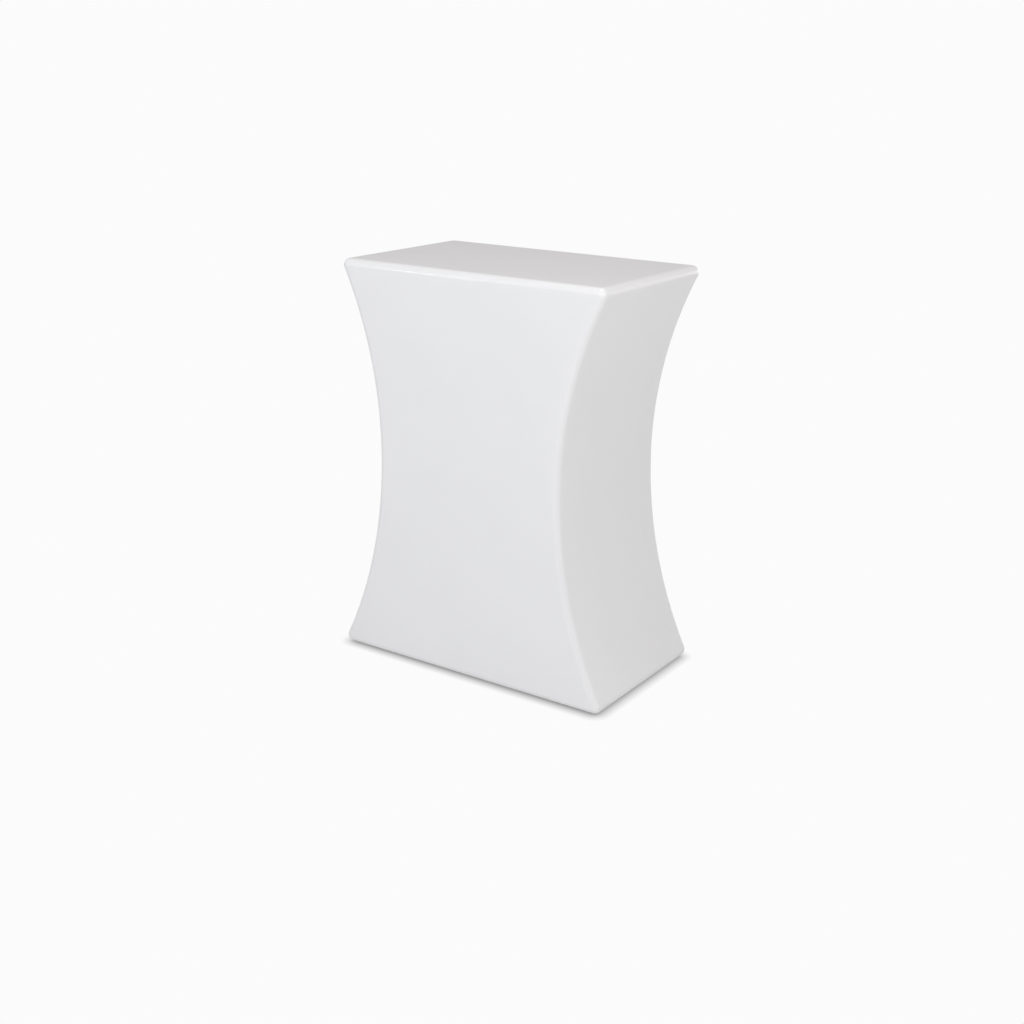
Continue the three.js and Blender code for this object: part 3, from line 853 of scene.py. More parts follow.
hem_verts, hem_faces, hem_uvs, hem_length = hem_tube()
hem = new_piece("cloth_hem", hem_verts, hem_faces, hem_uvs, outward=None)
print(f"hem: {len(hem.data.polygons)} quads, {1000 * hem_length:.0f} mm round")

# %% [markdown]
# ## Cut sizes
# The cloth is cut smaller than the table and stretched by about four percent each way. Each panel's
# flat size follows from its finished size, measured along the surface before it gets its thickness.

# %% Thickness and cut sizes
STRETCH = 1.04
GATHER = 1.06  # the hem is cut longer than the opening, and the elastic draws it up
HEM_CLOTH = 0.8 * MM


def cut_size(piece):
    """(width, length) and area of the flat cut, from the cloth's own measure."""
    places = [loop.uv for loop in piece.data.uv_layers["cloth_uv"].data]
    width = (max(p[0] for p in places) - min(p[0] for p in places)) / STRETCH
    length = (max(p[1] for p in places) - min(p[1] for p in places)) / STRETCH
    return (width, length), min(surface_area(piece) / STRETCH**2, width * length)


def strip_size(piece, length):
    """Cut size of a strip of this finished length, as wide as its area needs."""
    area = surface_area(piece) / STRETCH**2
    return (area / length * STRETCH, length / STRETCH), area


PANELS = {
    front: ("front_panel",),
    back_left: ("back_left_panel",),
    back_right: ("back_right_panel",),
    right_end: ("right_end_panel",),
    left_end: ("left_end_panel",),
    top: ("top_panel",),
    border: ("base_border",),
    hem: ("hem_band",),
}
cuts = {panel: cut_size(panel) for panel in PANELS}
cuts[border] = strip_size(border, 4 * (BOTTOM_X + CORE_Y))
hem_round = 2 * (BAND_WIDTH + HEM_HIGH - HEM_LOW - 2 * HEM_CLOTH)  # round the middle of its wall
hem_cut = (hem_round, hem_length * GATHER)
cuts[hem] = (hem_cut, hem_cut[0] * hem_cut[1])
for panel, (size, area) in cuts.items():
    print(f"{panel.name}: cut {1000 * size[0]:.0f} x {1000 * size[1]:.0f} mm, {area:.4f} m2")
for panel in PANELS:
    give_thickness(panel, HEM_CLOTH if panel is hem else CLOTH)

# %% [markdown]
# ## Shader groups
# Cloth, tape and elastic are all looped or woven from thread, so one group makes the height of a
# fine rib-and-loop pattern at any pitch. A second group makes the slow unevenness that every real
# surface has. Both put out plain values, so that each material keeps its own shader.


# %% Node helpers
def node_group(name, inputs, outputs):
    """An empty shader group with named float or vector sockets."""
    group = bpy.data.node_groups.new(name, "ShaderNodeTree")
    for label, kind, default in inputs:
        socket = group.interface.new_socket(name=label, in_out="INPUT", socket_type=kind)
        if default is not None:
            socket.default_value = default
    for label, kind in outputs:
        group.interface.new_socket(name=label, in_out="OUTPUT", socket_type=kind)
    return group, group.nodes.new("NodeGroupInput"), group.nodes.new("NodeGroupOutput")


def math_node(tree, operation, first, second=None):
    """A math node whose inputs are sockets or plain numbers."""
    node = tree.nodes.new("ShaderNodeMath")
    node.operation = operation
    for index, source in enumerate((first, second)):
        if source is None:
            continue
        if isinstance(source, (int, float)):
            node.inputs[index].default_value = source
        else:
            tree.links.new(source, node.inputs[index])
    return node.outputs[0]


FLOAT = "NodeSocketFloat"
VECTOR = "NodeSocketVector"

# %% Thread pattern: rows of small rounded loops
SWAY = 0.9  # how far the ribs push the rows of loops out of line
RIB_HEIGHT = 0.35
LOOP_HEIGHT = 0.15
thread, given, result = node_group(
    "thread_pattern",
    [("Vector", VECTOR, None), ("Pitch", FLOAT, 0.001), ("Row Height", FLOAT, 0.8)],
    [("Height", FLOAT)],
)
split = thread.nodes.new("ShaderNodeSeparateXYZ")
thread.links.new(given.outputs["Vector"], split.inputs[0])
turn = math_node(thread, "DIVIDE", 2 * math.pi, given.outputs["Pitch"])
columns = math_node(thread, "MULTIPLY", split.outputs["X"], turn)
rows = math_node(thread, "MULTIPLY", split.outputs["Y"], turn)
rows = math_node(thread, "DIVIDE", rows, given.outputs["Row Height"])
ribs = math_node(thread, "SINE", columns)
sway = math_node(thread, "MULTIPLY", ribs, SWAY)
loops = math_node(thread, "SINE", math_node(thread, "ADD", rows, sway))
high_ribs = math_node(thread, "MULTIPLY", ribs, RIB_HEIGHT)
low_loops = math_node(thread, "MULTIPLY", loops, LOOP_HEIGHT)
both = math_node(thread, "ADD", high_ribs, low_loops)
thread.links.new(math_node(thread, "ADD", both, 0.5), result.inputs["Height"])
print("thread pattern:", len(thread.nodes), "nodes")

# %% Slow unevenness, from 0 to 1 about a middle of 0.5
uneven, given, result = node_group(
    "unevenness",
    [("Vector", VECTOR, None), ("Scale", FLOAT, 4.0), ("Detail", FLOAT, 3.0)],
    [("Value", FLOAT)],
)
noise = uneven.nodes.new("ShaderNodeTexNoise")
uneven.links.new(given.outputs["Vector"], noise.inputs["Vector"])
uneven.links.new(given.outputs["Scale"], noise.inputs["Scale"])
uneven.links.new(given.outputs["Detail"], noise.inputs["Detail"])
uneven.links.new(noise.outputs["Fac"], result.inputs["Value"])
print("shader groups:", thread.name, uneven.name)

# %% [markdown]
# ## Materials
# The cloth is a white knit with a thin clear coating, so it shines softly. Its threads are under a
# millimetre apart and barely show. The same helper starts every material: a Principled shader, its
# plain settings, and a slow change of colour and roughness from place to place.


# %% Material helper
NOISE_LOW, NOISE_HIGH = 0.3, 0.7  # nearly all of a noise lies between these


def place_group(tree, group, source, **settings):
    """Puts a group in a material, fed by a vector socket, with its own values."""
    node = tree.nodes.new("ShaderNodeGroup")
    node.node_tree = group
    tree.links.new(source, node.inputs["Vector"])
    for name, value in settings.items():
        node.inputs[name.replace("_", " ")].default_value = value
    return node


def between_values(tree, factor, low, high):
    """A number that runs from low to high as a noise does."""
    node = tree.nodes.new("ShaderNodeMapRange")
    value_of(node, "From Min", NOISE_LOW)
    value_of(node, "From Max", NOISE_HIGH)
    value_of(node, "To Min", low)
    value_of(node, "To Max", high)
    tree.links.new(factor, node.inputs["Value"])
    return node.outputs["Result"]


def between_colours(tree, factor, low, high):
    """A colour that runs from low to high as a noise does."""
    node = tree.nodes.new("ShaderNodeMix")
    node.data_type = "RGBA"
    tree.links.new(between_values(tree, factor, 0, 1), node.inputs["Factor"])
    node.inputs[6].default_value = (*low, 1)
    node.inputs[7].default_value = (*high, 1)
    return node.outputs[2]


def bumps(tree, shader, height, distance, strength=1.0, under=None):
    """A Bump node from a height socket; 'under' is a bump that it adds to."""
    node = tree.nodes.new("ShaderNodeBump")
    value_of(node, "Distance", distance)
    value_of(node, "Strength", strength)
    tree.links.new(height, node.inputs["Height"])
    if under is not None:
        tree.links.new(under, node.inputs["Normal"])
    tree.links.new(node.outputs[0], shader.inputs["Normal"])
    return node.outputs[0]


def darken(tree, shader, factor, colour):
    """Multiplies the shader's base colour by another colour, as far as a factor says."""
    node = tree.nodes.new("ShaderNodeMix")
    node.data_type = "RGBA"
    node.blend_type = "MULTIPLY"
    base = shader.inputs["Base Color"]
    wire(tree, (factor, node.inputs["Factor"]), (base.links[0].from_socket, node.inputs[6]))
    node.inputs[7].default_value = (*colour, 1)
    wire(tree, (node.outputs[2], base))


def surface(name, dark, light, rough, uneven_scale, along_cloth=False, **settings):
    """Material with slow changes of colour and roughness: (material, tree, shader, place). A
    material that mixes its own colour gives None for dark and light."""
    material, tree = new_material(name)
    shader = tree.nodes.new("ShaderNodeBsdfPrincipled")
    out = tree.nodes.new("ShaderNodeOutputMaterial")
    tree.links.new(shader.outputs[0], out.inputs[0])
    for key, value in settings.items():
        value_of(shader, key.replace("_", " "), value)
    if along_cloth:
        map_node = tree.nodes.new("ShaderNodeUVMap")
        map_node.uv_map = "cloth_uv"
        place = map_node.outputs[0]
    else:
        place = tree.nodes.new("ShaderNodeTexCoord").outputs["Object"]
    factor = place_group(tree, uneven, place, Scale=uneven_scale).outputs["Value"]
    if dark is not None:
        wire(tree, (between_colours(tree, factor, dark, light), shader.inputs["Base Color"]))
    wire(tree, (between_values(tree, factor, *rough), shader.inputs["Roughness"]))
    return material, tree, shader, place


def grained(name, dark, light, rough, uneven_scale, grain, **settings):
    """A surface with fine even grain, given as (scale, detail, depth, strength)."""
    material, tree, shader, place = surface(name, dark, light, rough, uneven_scale, **settings)
    scale, detail, depth, strength = grain
    fine = place_group(tree, uneven, place, Scale=scale, Detail=detail).outputs["Value"]
    bumps(tree, shader, fine, depth, strength)
    return material


# %% Cloth
KNIT_PITCH = 0.9 * MM
cloth, tree, shader, place = surface(
    "coated_stretch_knit", (0.818, 0.820, 0.826), (0.833, 0.835, 0.841), (0.34, 0.38), 5, True,
    Coat_Weight=0.35, Coat_Roughness=0.14, Coat_IOR=1.45, Sheen_Weight=0.04, Sheen_Roughness=0.4,
)
slow = place_group(tree, uneven, place, Scale=14, Detail=2).outputs["Value"]
waves = bumps(tree, shader, slow, 0.5 * MM, 0.35)
knit = place_group(tree, thread, place, Pitch=KNIT_PITCH).outputs["Height"]
bumps(tree, shader, knit, 0.06 * MM, 0.8, waves)
# Painted shade: the base colour is darkened a little in the hollows between the knit's loops, where
# shade falls.
painted_knit_shade = math_node(tree, "MULTIPLY", math_node(tree, "SUBTRACT", 1, knit), 0.5)
darken(tree, shader, painted_knit_shade, (0.9, 0.9, 0.9))  # the hollows between the loops
print(f"cloth: a loop every {1000 * KNIT_PITCH:.1f} mm")

# %% Elastic, zip tape and sewing thread
ELASTIC_PITCH = 1.2 * MM
TAPE_PITCH = 0.7 * MM
THREAD_PITCH = 0.25 * MM
elastic, tree, shader, place = surface(
    "braided_elastic", (0.74, 0.74, 0.72), (0.80, 0.80, 0.78), (0.75, 0.85), 60)
braid = place_group(tree, thread, place, Pitch=ELASTIC_PITCH)
bumps(tree, shader, braid.outputs["Height"], 0.15 * MM)

tape, tree, shader, place = surface(
    "woven_zip_tape", (0.70, 0.70, 0.71), (0.79, 0.79, 0.80), (0.7, 0.8), 90, Sheen_Weight=0.1)
turned = tree.nodes.new("ShaderNodeMapping")
turned.inputs["Rotation"].default_value = (HALF_PI, 0, 0)
tree.links.new(place, turned.inputs["Vector"])
weave = place_group(tree, thread, turned.outputs[0], Pitch=TAPE_PITCH, Row_Height=1.0)
bumps(tree, shader, weave.outputs["Height"], 0.12 * MM)

stitch_thread, tree, shader, place = surface(
    "polyester_thread", (0.79, 0.79, 0.80), (0.84, 0.84, 0.85), (0.42, 0.5), 300)
twist = place_group(tree, thread, place, Pitch=THREAD_PITCH)
bumps(tree, shader, twist.outputs["Height"], 0.03 * MM)
print("sewn and woven:", elastic.name, tape.name, stitch_thread.name)

# %% Lacquered zip metal, plastic teeth
zip_metal = grained(
    "white_lacquered_zinc", (0.76, 0.76, 0.77), (0.81, 0.81, 0.82), (0.22, 0.32), 120,
    (700, 2, 0.03 * MM, 0.4), Coat_Weight=0.4)
teeth_plastic = grained(
    "white_acetal", (0.78, 0.78, 0.77), (0.83, 0.83, 0.82), (0.28, 0.36), 200,
    (900, 2, 0.02 * MM, 0.4))
print("zip:", zip_metal.name, teeth_plastic.name)

# %% Birch plywood: grain along the length, plies on the edges
PLY = 1.5 * MM
board, tree, shader, place = surface("birch_plywood", None, None, (0.5, 0.62), 3)
drawn = tree.nodes.new("ShaderNodeMapping")
drawn.inputs["Scale"].default_value = (1.5, 26, 26)
tree.links.new(place, drawn.inputs["Vector"])
grain = place_group(tree, uneven, drawn.outputs[0], Scale=6, Detail=6).outputs["Value"]
plies = tree.nodes.new("ShaderNodeSeparateXYZ")
tree.links.new(place, plies.inputs[0])
layer = math_node(tree, "SINE", math_node(tree, "MULTIPLY", plies.outputs["Z"], math.pi / PLY))
here = tree.nodes.new("ShaderNodeNewGeometry")
tilt = tree.nodes.new("ShaderNodeSeparateXYZ")
tree.links.new(here.outputs["Normal"], tilt.inputs[0])
on_edge = math_node(tree, "LESS_THAN", math_node(tree, "ABSOLUTE", tilt.outputs["Z"]), 0.9)
bands = math_node(tree, "MULTIPLY", math_node(tree, "GREATER_THAN", layer, 0), on_edge)
wood = between_colours(tree, grain, (0.53, 0.37, 0.21), (0.72, 0.56, 0.37))
wire(tree, (wood, shader.inputs["Base Color"]))
darken(tree, shader, math_node(tree, "MULTIPLY", bands, 0.45), (0.55, 0.42, 0.30))
bumps(tree, shader, grain, 0.12 * MM, 0.5)
print(f"{board.name}: plies of {1000 * PLY:.1f} mm")

# %% Powder coat, zinc, nylon and rubber
tube_paint = grained(
    "graphite_powder_coat", (0.045, 0.047, 0.05), (0.065, 0.067, 0.07), (0.42, 0.52), 12,
    (650, 2, 0.08 * MM, 0.6))
zinc = grained(
    "zinc_plated_steel", (0.60, 0.61, 0.63), (0.74, 0.75, 0.77), (0.24, 0.4), 90,
    (1100, 3, 0.02 * MM, 0.5), Metallic=1.0)
plug_nylon = grained(
    "black_nylon", (0.018, 0.018, 0.019), (0.03, 0.03, 0.031), (0.45, 0.6), 40,
    (800, 2, 0.04 * MM, 0.5))
rubber = grained(
    "foot_rubber", (0.022, 0.022, 0.022), (0.045, 0.045, 0.044), (0.7, 0.85), 70,
    (500, 3, 0.08 * MM, 0.6))
print("materials:", len(bpy.data.materials))

# %% [markdown]
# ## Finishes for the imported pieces
# The boards, tubes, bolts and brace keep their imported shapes. Most of them are never seen under the
# closed cover, but each still gets its real finish. The names say what each piece is made of.

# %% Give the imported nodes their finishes
NAME_MATERIAL = (
    ("leg_plug", plug_nylon), ("leg_bolt", zinc), ("leg_", tube_paint), ("brace_tab", tube_paint),
    ("brace_screw", zinc), ("waist_brace", board), ("_board", board), ("foot_pad", rubber),
    ("foot_", zinc), ("hem_elastic", elastic), ("zip_stringer", tape), ("zip_", zip_metal),
)


def finish_of(name):
    for part, material in NAME_MATERIAL:
        if part in name:
            return material
    return cloth


for name, node in frame["nodes"].items():
    node.data.materials.clear()
    node.data.materials.append(finish_of(name))
print("packed nodes with a finish:", len(frame["nodes"]))


# %% Helper for the cover's own pieces
def wear(piece, material, body="root", replaced=()):
    """Gives a piece its material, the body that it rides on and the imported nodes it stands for."""
    piece.data.materials.clear()
    piece.data.materials.append(material)
    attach(piece, body)
    if replaced:
        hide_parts(*replaced)
    return piece


for piece, replaced in PANELS.items():
    wear(piece, cloth, replaced=replaced)

# %% [markdown]
# ## Rows of small pieces
# Stitches and zip teeth are one small shape repeated along a line. A Geometry Nodes tree walks
# along the line at an even spacing, turns each copy to follow it, and joins the copies into one
# mesh. The result is kept as a plain mesh.


# %% Geometry Nodes: copies along a line
def row_tree():
    """The tree: Mesh to Curve, Resample, Instance on Points, Realize, Set Material."""
    tree = bpy.data.node_groups.new("copies_along_a_line", "GeometryNodeTree")
    kinds = {"Line": "Geometry", "Spacing": "Float", "Copy": "Object", "Material": "Material"}
    for label, kind in kinds.items():
        tree.interface.new_socket(name=label, in_out="INPUT", socket_type="NodeSocket" + kind)
    tree.interface.new_socket(name="Copies", in_out="OUTPUT", socket_type="NodeSocketGeometry")
    nodes = tree.nodes
    given = nodes.new("NodeGroupInput")
    result = nodes.new("NodeGroupOutput")
    curve = nodes.new("GeometryNodeMeshToCurve")
    resample = nodes.new("GeometryNodeResampleCurve")
    resample.mode = "LENGTH"
    points = nodes.new("GeometryNodeCurveToPoints")
    points.mode = "EVALUATED"
    info = nodes.new("GeometryNodeObjectInfo")
    info.transform_space = "ORIGINAL"
    copies = nodes.new("GeometryNodeInstanceOnPoints")
    realize = nodes.new("GeometryNodeRealizeInstances")
    paint = nodes.new("GeometryNodeSetMaterial")
    wire(
        tree,
        (given.outputs["Line"], curve.inputs[0]),
        (curve.outputs[0], resample.inputs["Curve"]),
        (given.outputs["Spacing"], resample.inputs["Length"]),
        (resample.outputs[0], points.inputs[0]),
        (given.outputs["Copy"], info.inputs["Object"]),
        (points.outputs["Points"], copies.inputs["Points"]),
        (points.outputs["Rotation"], copies.inputs["Rotation"]),
        (info.outputs["Geometry"], copies.inputs["Instance"]),
        (copies.outputs[0], realize.inputs[0]),
        (realize.outputs[0], paint.inputs["Geometry"]),
        (given.outputs["Material"], paint.inputs["Material"]),
        (paint.outputs[0], result.inputs[0]),
    )
    return tree


ROW_TREE = row_tree()


def row_of(name, lines, spacing, copy, material):
    """Copies of a small object along each line, as one plain mesh. A line is (points, closed)."""
    verts, edges = [], []
    for points, closed in lines:
        start = len(verts)
        verts += points
        edges += [(start + i, start + i + 1) for i in range(len(points) - 1)]
        if closed:
            edges.append((len(verts) - 1, start))
    mesh = bpy.data.meshes.new(name)
    mesh.from_pydata([tuple(v) for v in verts], edges, [])
    piece = bpy.data.objects.new(name, mesh)
    bpy.context.collection.objects.link(piece)
    rows = piece.modifiers.new("rows", "NODES")
    rows.node_group = ROW_TREE
    values = {"Spacing": spacing, "Copy": copy, "Material": material}
    for item in ROW_TREE.interface.items_tree:
        if item.in_out == "INPUT" and item.name in values:
            rows[item.identifier] = values[item.name]
    settle(piece)
    print(f"{name}: {len(piece.data.polygons)} faces")
    return piece


def template(name, verts, faces):
    """A small object to copy, kept out of the render."""
    mesh = bpy.data.meshes.new(name)
    mesh.from_pydata(verts, [], faces)
    mesh.shade_smooth()
    shape = bpy.data.objects.new(name, mesh)
    bpy.context.collection.objects.link(shape)
    shape.hide_render = True
    return shape


def grain_shape(name, length, radius, sides=6):
    """A small stitch along Z: a rod that swells in the middle and ends in points."""
    rings = ((-0.5, 0.15), (-0.42, 0.75), (-0.2, 1.0), (0.2, 1.0), (0.42, 0.75), (0.5, 0.15))
    verts = []
    for along, width in rings:
        verts += [(radius * width * c, radius * width * s, length * along) for c, s in circle(sides)]
    return template(name, verts, ring_faces(len(rings), sides))


# %% Stitches in the seams, beside the zip and along the hem
STITCH = 2.6 * MM
STITCH_STEP = 3.2 * MM
THREAD = 0.17 * MM  # radius
stitch = grain_shape("one_stitch", STITCH, THREAD)


def seam_line(facing):
    """The seam round the front or the back, sunk by the dip."""
    return [skin_point(x, z, lean, SEAM_ROLL, facing) for x, z, lean in LOOP]


def corner_lines():
    """The four seams where the ends meet the top and the border."""
    lines = []
    for z, x, lean in ((CORE_TOP, TOP_X, QUARTER), (CORE_BOTTOM, BOTTOM_X, -QUARTER)):
        for side in (1, -1):
            turned_lean = lean if side > 0 else math.pi - lean
            rolls = np.linspace(SEAM_ROLL, HALF_PI, 8)
            start = [skin_point(side * x, z, turned_lean, float(r), -1) for r in rolls]
            end = [skin_point(side * x, z, turned_lean, float(r), 1) for r in reversed(rolls)]
            lines.append((start + end, False))
    return lines


def stitches(name, lines):
    """A row of stitches along each line, on the cloth."""
    return wear(row_of(name, lines, STITCH_STEP, stitch, stitch_thread), stitch_thread)


front_stitches = stitches("stitches_front_seam", [(seam_line(-1), True)])
back_stitches = stitches("stitches_back_seam", [(seam_line(1), True)])
corner_stitches = stitches("stitches_corner_seams", corner_lines())

ZIP_STITCH_GAP = 3 * MM  # from the fold to the line of stitches
HEM_STITCH_GAPS = (1.2 * MM, 4.2 * MM)  # from the hem to its two lines of stitches
stitch_x = SLOT_HALF + ZIP_STITCH_GAP
stitch_y = FACE_Y + 0.02 * MM
stitch_low, stitch_high = zip_low - ZIP_STITCH_GAP, zip_high + ZIP_STITCH_GAP
corners = ((1, stitch_low), (1, stitch_high), (-1, stitch_high), (-1, stitch_low))
zip_round = [(side * stitch_x, stitch_y, z) for side, z in corners]
zip_stitches = stitches("stitches_zip", [(zip_round, True)])
hem_lines = []
for gap in HEM_STITCH_GAPS:
    loop = rounded_loop(HEM_X + gap, HEM_Y + gap, HEM_CORNER + gap, BOTTOM, 60, 30, 12)
    hem_lines.append((loop, True))
hem_stitches = stitches("stitches_hem", hem_lines)

# %% [markdown]
# ## The zip
# Two woven tapes are sewn behind the folds. Moulded teeth grip the tapes' edges and mesh in the
# middle, a cast slider runs on them, and a stop closes each end. The tapes are plain thin strips
# with a beaded edge. The teeth alternate from side to side, half a pitch apart.


# %% Tapes
def box_verts(low, high):
    return [(x, y, z) for z in (low[2], high[2]) for y in (low[1], high[1]) for x in (low[0], high[0])]


BOX_FACES = [(0, 2, 3, 1), (4, 5, 7, 6), (0, 1, 5, 4), (2, 6, 7, 3), (0, 4, 6, 2), (1, 3, 7, 5)]


def soft_box(name, low, high, edge, segments=2):
    """A box with rounded edges, as a plain mesh."""
    piece = new_piece(name, box_verts(low, high), BOX_FACES, outward=None)
    return bevelled(piece, edge, segments, every_edge=True)


def zip_tape_strip(name, node, side):
    """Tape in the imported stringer's place: a flat strip with a round bead at its inner edge."""
    low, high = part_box(node)
    inner, outer = (low.x, high.x) if side > 0 else (high.x, low.x)
    y_in, y_out = zip_tape_low, zip_tape_high
    section = [(outer, y_in), (outer, y_out)]
    section += [(inner + side * 2.4 * MM, y_out), (inner + side * 1.9 * MM, y_out + 0.25 * MM)]
    section += [(inner + side * 1.2 * MM, y_out + 0.25 * MM), (inner + side * 0.7 * MM, y_out)]
    section += [(inner, (y_in + y_out) / 2), (inner + side * 0.7 * MM, y_in)]
    verts = [(x, y, float(z)) for z in np.linspace(low.z, high.z, TAPE_ROWS) for x, y in section]
    return new_piece(name, verts, ring_faces(TAPE_ROWS, len(section)), outward=None)


TAPE_ROWS = 160
TAPE_SUNK = 2.1 * MM  # from the back face of the cloth to the tapes
TAPE_THICK = 0.8 * MM
zip_tape_high = FACE_Y - TAPE_SUNK
zip_tape_low = zip_tape_high - TAPE_THICK
for word, side in (("left", -1), ("right", 1)):
    node = f"zip_stringer_{word}"
    wear(zip_tape_strip(f"zip_tape_{word}", node, side), tape, replaced=(node,))
print(f"tapes: {1000 * (zip_high - zip_low):.0f} mm long")

# %% Teeth
TOOTH_PITCH = 2.6 * MM
TEETH_FROM_END = 6.5 * MM  # from each end of the tapes
teeth_low, teeth_high = zip_low + TEETH_FROM_END, zip_high - TEETH_FROM_END
# Half of a tooth's section in mm of depth and share of its width, and the tooth's plan in mm.
TOOTH_SECTION = ((-1.05, 0.8), (-0.75, 1.0), (0.75, 1.0), (1.05, 0.8))
TOOTH_PLAN = ((3.0, 0.55), (1.5, 0.62), (0.7, 0.40), (0.1, 0.42), (-0.45, 0.50), (-0.75, 0.30))


def tooth_shape(name, side):
    """A tooth that reaches past the middle: a rounded block with a narrower head."""
    around = [*TOOTH_SECTION, *((y, -share) for y, share in reversed(TOOTH_SECTION))]
    verts = []
    for across, half in TOOTH_PLAN:
        verts += [(side * across * MM, y * MM, half * share * MM) for y, share in around]
    faces = ring_faces(len(TOOTH_PLAN), len(around))
    shape = template(name, verts, faces if side > 0 else [face[::-1] for face in faces])
    shape.data.shade_flat()
    return shape


def teeth_row(name, side, shift):
    """One side's teeth along the middle of the zip, moved up by a shift."""
    y = zip_tape_high - 0.1 * MM
    line = [(0, y, teeth_low + shift), (0, y, teeth_high + shift)]
    shape = tooth_shape(name + "_shape", side)
    return row_of(name, [(line, False)], TOOTH_PITCH, shape, teeth_plastic)


for word, side, shift in (("right", 1, 0), ("left", -1, TOOTH_PITCH / 2)):
    wear(teeth_row(f"zip_teeth_{word}", side, shift), teeth_plastic)

# %% Stops, and the thread tacks that close the gap between the tapes beyond them
TACK_HALF = 1.4 * MM
TACK_LENGTH = 2.5 * MM
TACK_PROUD = 0.2 * MM  # how far a tack stands out of the tapes
SMALL_EDGE = 0.3 * MM
for end, tape_end in (("bottom", zip_low), ("top", zip_high)):
    node = f"zip_{end}_stop"
    stop = soft_box(f"zip_stop_{end}", *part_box(node), SMALL_EDGE)
    wear(stop, zip_metal, replaced=(node,))
    tack_z = sorted((tape_end, tape_end - math.copysign(TACK_LENGTH, tape_end - WAIST_Z)))
    tack_low = (-TACK_HALF, zip_tape_low - TACK_PROUD, tack_z[0])
    tack_high = (TACK_HALF, zip_tape_high + TACK_PROUD, tack_z[1])
    wear(soft_box(f"zip_tack_{end}", tack_low, tack_high, SMALL_EDGE, 3), stitch_thread)
print("stops and tacks made")


# %% Slider and pull
def plate_piece(name, outline, y_low, y_high, edge):
    """A plate that faces back, cut to an outline of (x, z), with rounded edges."""
    verts = [(x, y_low, z) for x, z in outline] + [(x, y_high, z) for x, z in outline]
    return bevelled(new_piece(name, verts, ring_faces(2, len(outline)), outward=None), edge)


def rounded_outline(half_low, half_high, low, high, corner, turn=6):
    """Outline of (x, z) round a plate that is wider at one end, with round corners."""
    points = []
    corners = ((half_high, high, 0), (-half_high, high, 1), (-half_low, low, 2), (half_low, low, 3))
    for x, z, quarter in corners:
        cx = x - math.copysign(corner, x)
        cz = z - corner if quarter < 2 else z + corner
        for step in range(turn + 1):
            angle = (quarter + step / turn) * HALF_PI
            points.append((cx + corner * math.cos(angle), cz + corner * math.sin(angle)))
    return points


def bar(name, points, radius, sides=12, closed=False):
    """Round bar along a list of points: closed in a ring, or capped at both ends."""
    verts = []
    n = len(points)
    for i, p in enumerate(points):
        ahead = Vector(points[(i + 1) % n] if closed else points[min(i + 1, n - 1)])
        behind = Vector(points[i - 1] if closed else points[max(i - 1, 0)])
        way = (ahead - behind).normalized()
        flat = way.cross(Vector((1, 0, 0))) if abs(way.x) < 0.9 else way.cross(Vector((0, 0, 1)))
        flat.normalize()
        other = way.cross(flat)
        for c, s in circle(sides):
            verts.append(tuple(Vector(p) + radius * (c * flat + s * other)))
    return new_piece(name, verts, ring_faces(n, sides, closed), outward=None)


def joined_piece(name, pieces):
    """Several closed pieces as one object."""
    bm = bmesh.new()
    for piece in pieces:
        bm.from_mesh(piece.data)
        bpy.data.objects.remove(piece)
    mesh = bpy.data.meshes.new(name)
    bm.to_mesh(mesh)
    bm.free()
    mesh.shade_smooth()
    mesh.set_sharp_from_angle(angle=SHARP_TURN)
    whole = bpy.data.objects.new(name, mesh)
    bpy.context.collection.objects.link(whole)
    return whole


slider_low, slider_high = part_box("zip_slider")
PLATE_Y = (FACE_Y - 1.8 * MM, FACE_Y - 0.6 * MM)  # outer plate
UNDER_Y = (FACE_Y - 5.6 * MM, FACE_Y - 4.4 * MM)  # inner plate
PLATE_CORNER = 1.1 * MM
PLATE_EDGE = 0.35 * MM
PIN_RADIUS = 0.7 * MM
PIN_HALF = 2.6 * MM
EAR_X = (1.9 * MM, 3.1 * MM)  # inner and outer face of the two ears that hold the pin
EAR_HALF = 1.9 * MM  # half of their height
WEB_HALF = 0.3 * MM  # half width of the web that joins the plates
SUNK_IN = 0.3 * MM  # how far the web goes into each plate
pin_y = FACE_Y + 1.6 * MM
pin_z = slider_low.z + 12 * MM
slider_shape = rounded_outline(2.7 * MM, 3.6 * MM, slider_low.z, slider_high.z, PLATE_CORNER)
under_shape = rounded_outline(3.2 * MM, 4.4 * MM, slider_low.z, slider_high.z, PLATE_CORNER)
ears = []
for side in (-1, 1):
    near, far = sorted(side * x for x in EAR_X)
    ears.append(soft_box(
        "ear", (near, PLATE_Y[1] - 0.4 * MM, pin_z - EAR_HALF),
        (far, slider_high.y, pin_z + EAR_HALF), 0.45 * MM, 3))
slider = joined_piece("zip_slider_body", [
    plate_piece("plate", slider_shape, *PLATE_Y, PLATE_EDGE),
    plate_piece("under", under_shape, *UNDER_Y, PLATE_EDGE),
    soft_box("web", (-WEB_HALF, UNDER_Y[1] - SUNK_IN, pin_z - 5 * MM),
             (WEB_HALF, PLATE_Y[0] + SUNK_IN, pin_z + 1 * MM), 0.1 * MM),
    bar("pin", [(x, pin_y, pin_z) for x in (-PIN_HALF, 0, PIN_HALF)], PIN_RADIUS),
    *ears,
])
wear(slider, zip_metal, "zip_slider", ("zip_slider",))
print("slider:", len(slider.data.polygons), "faces")

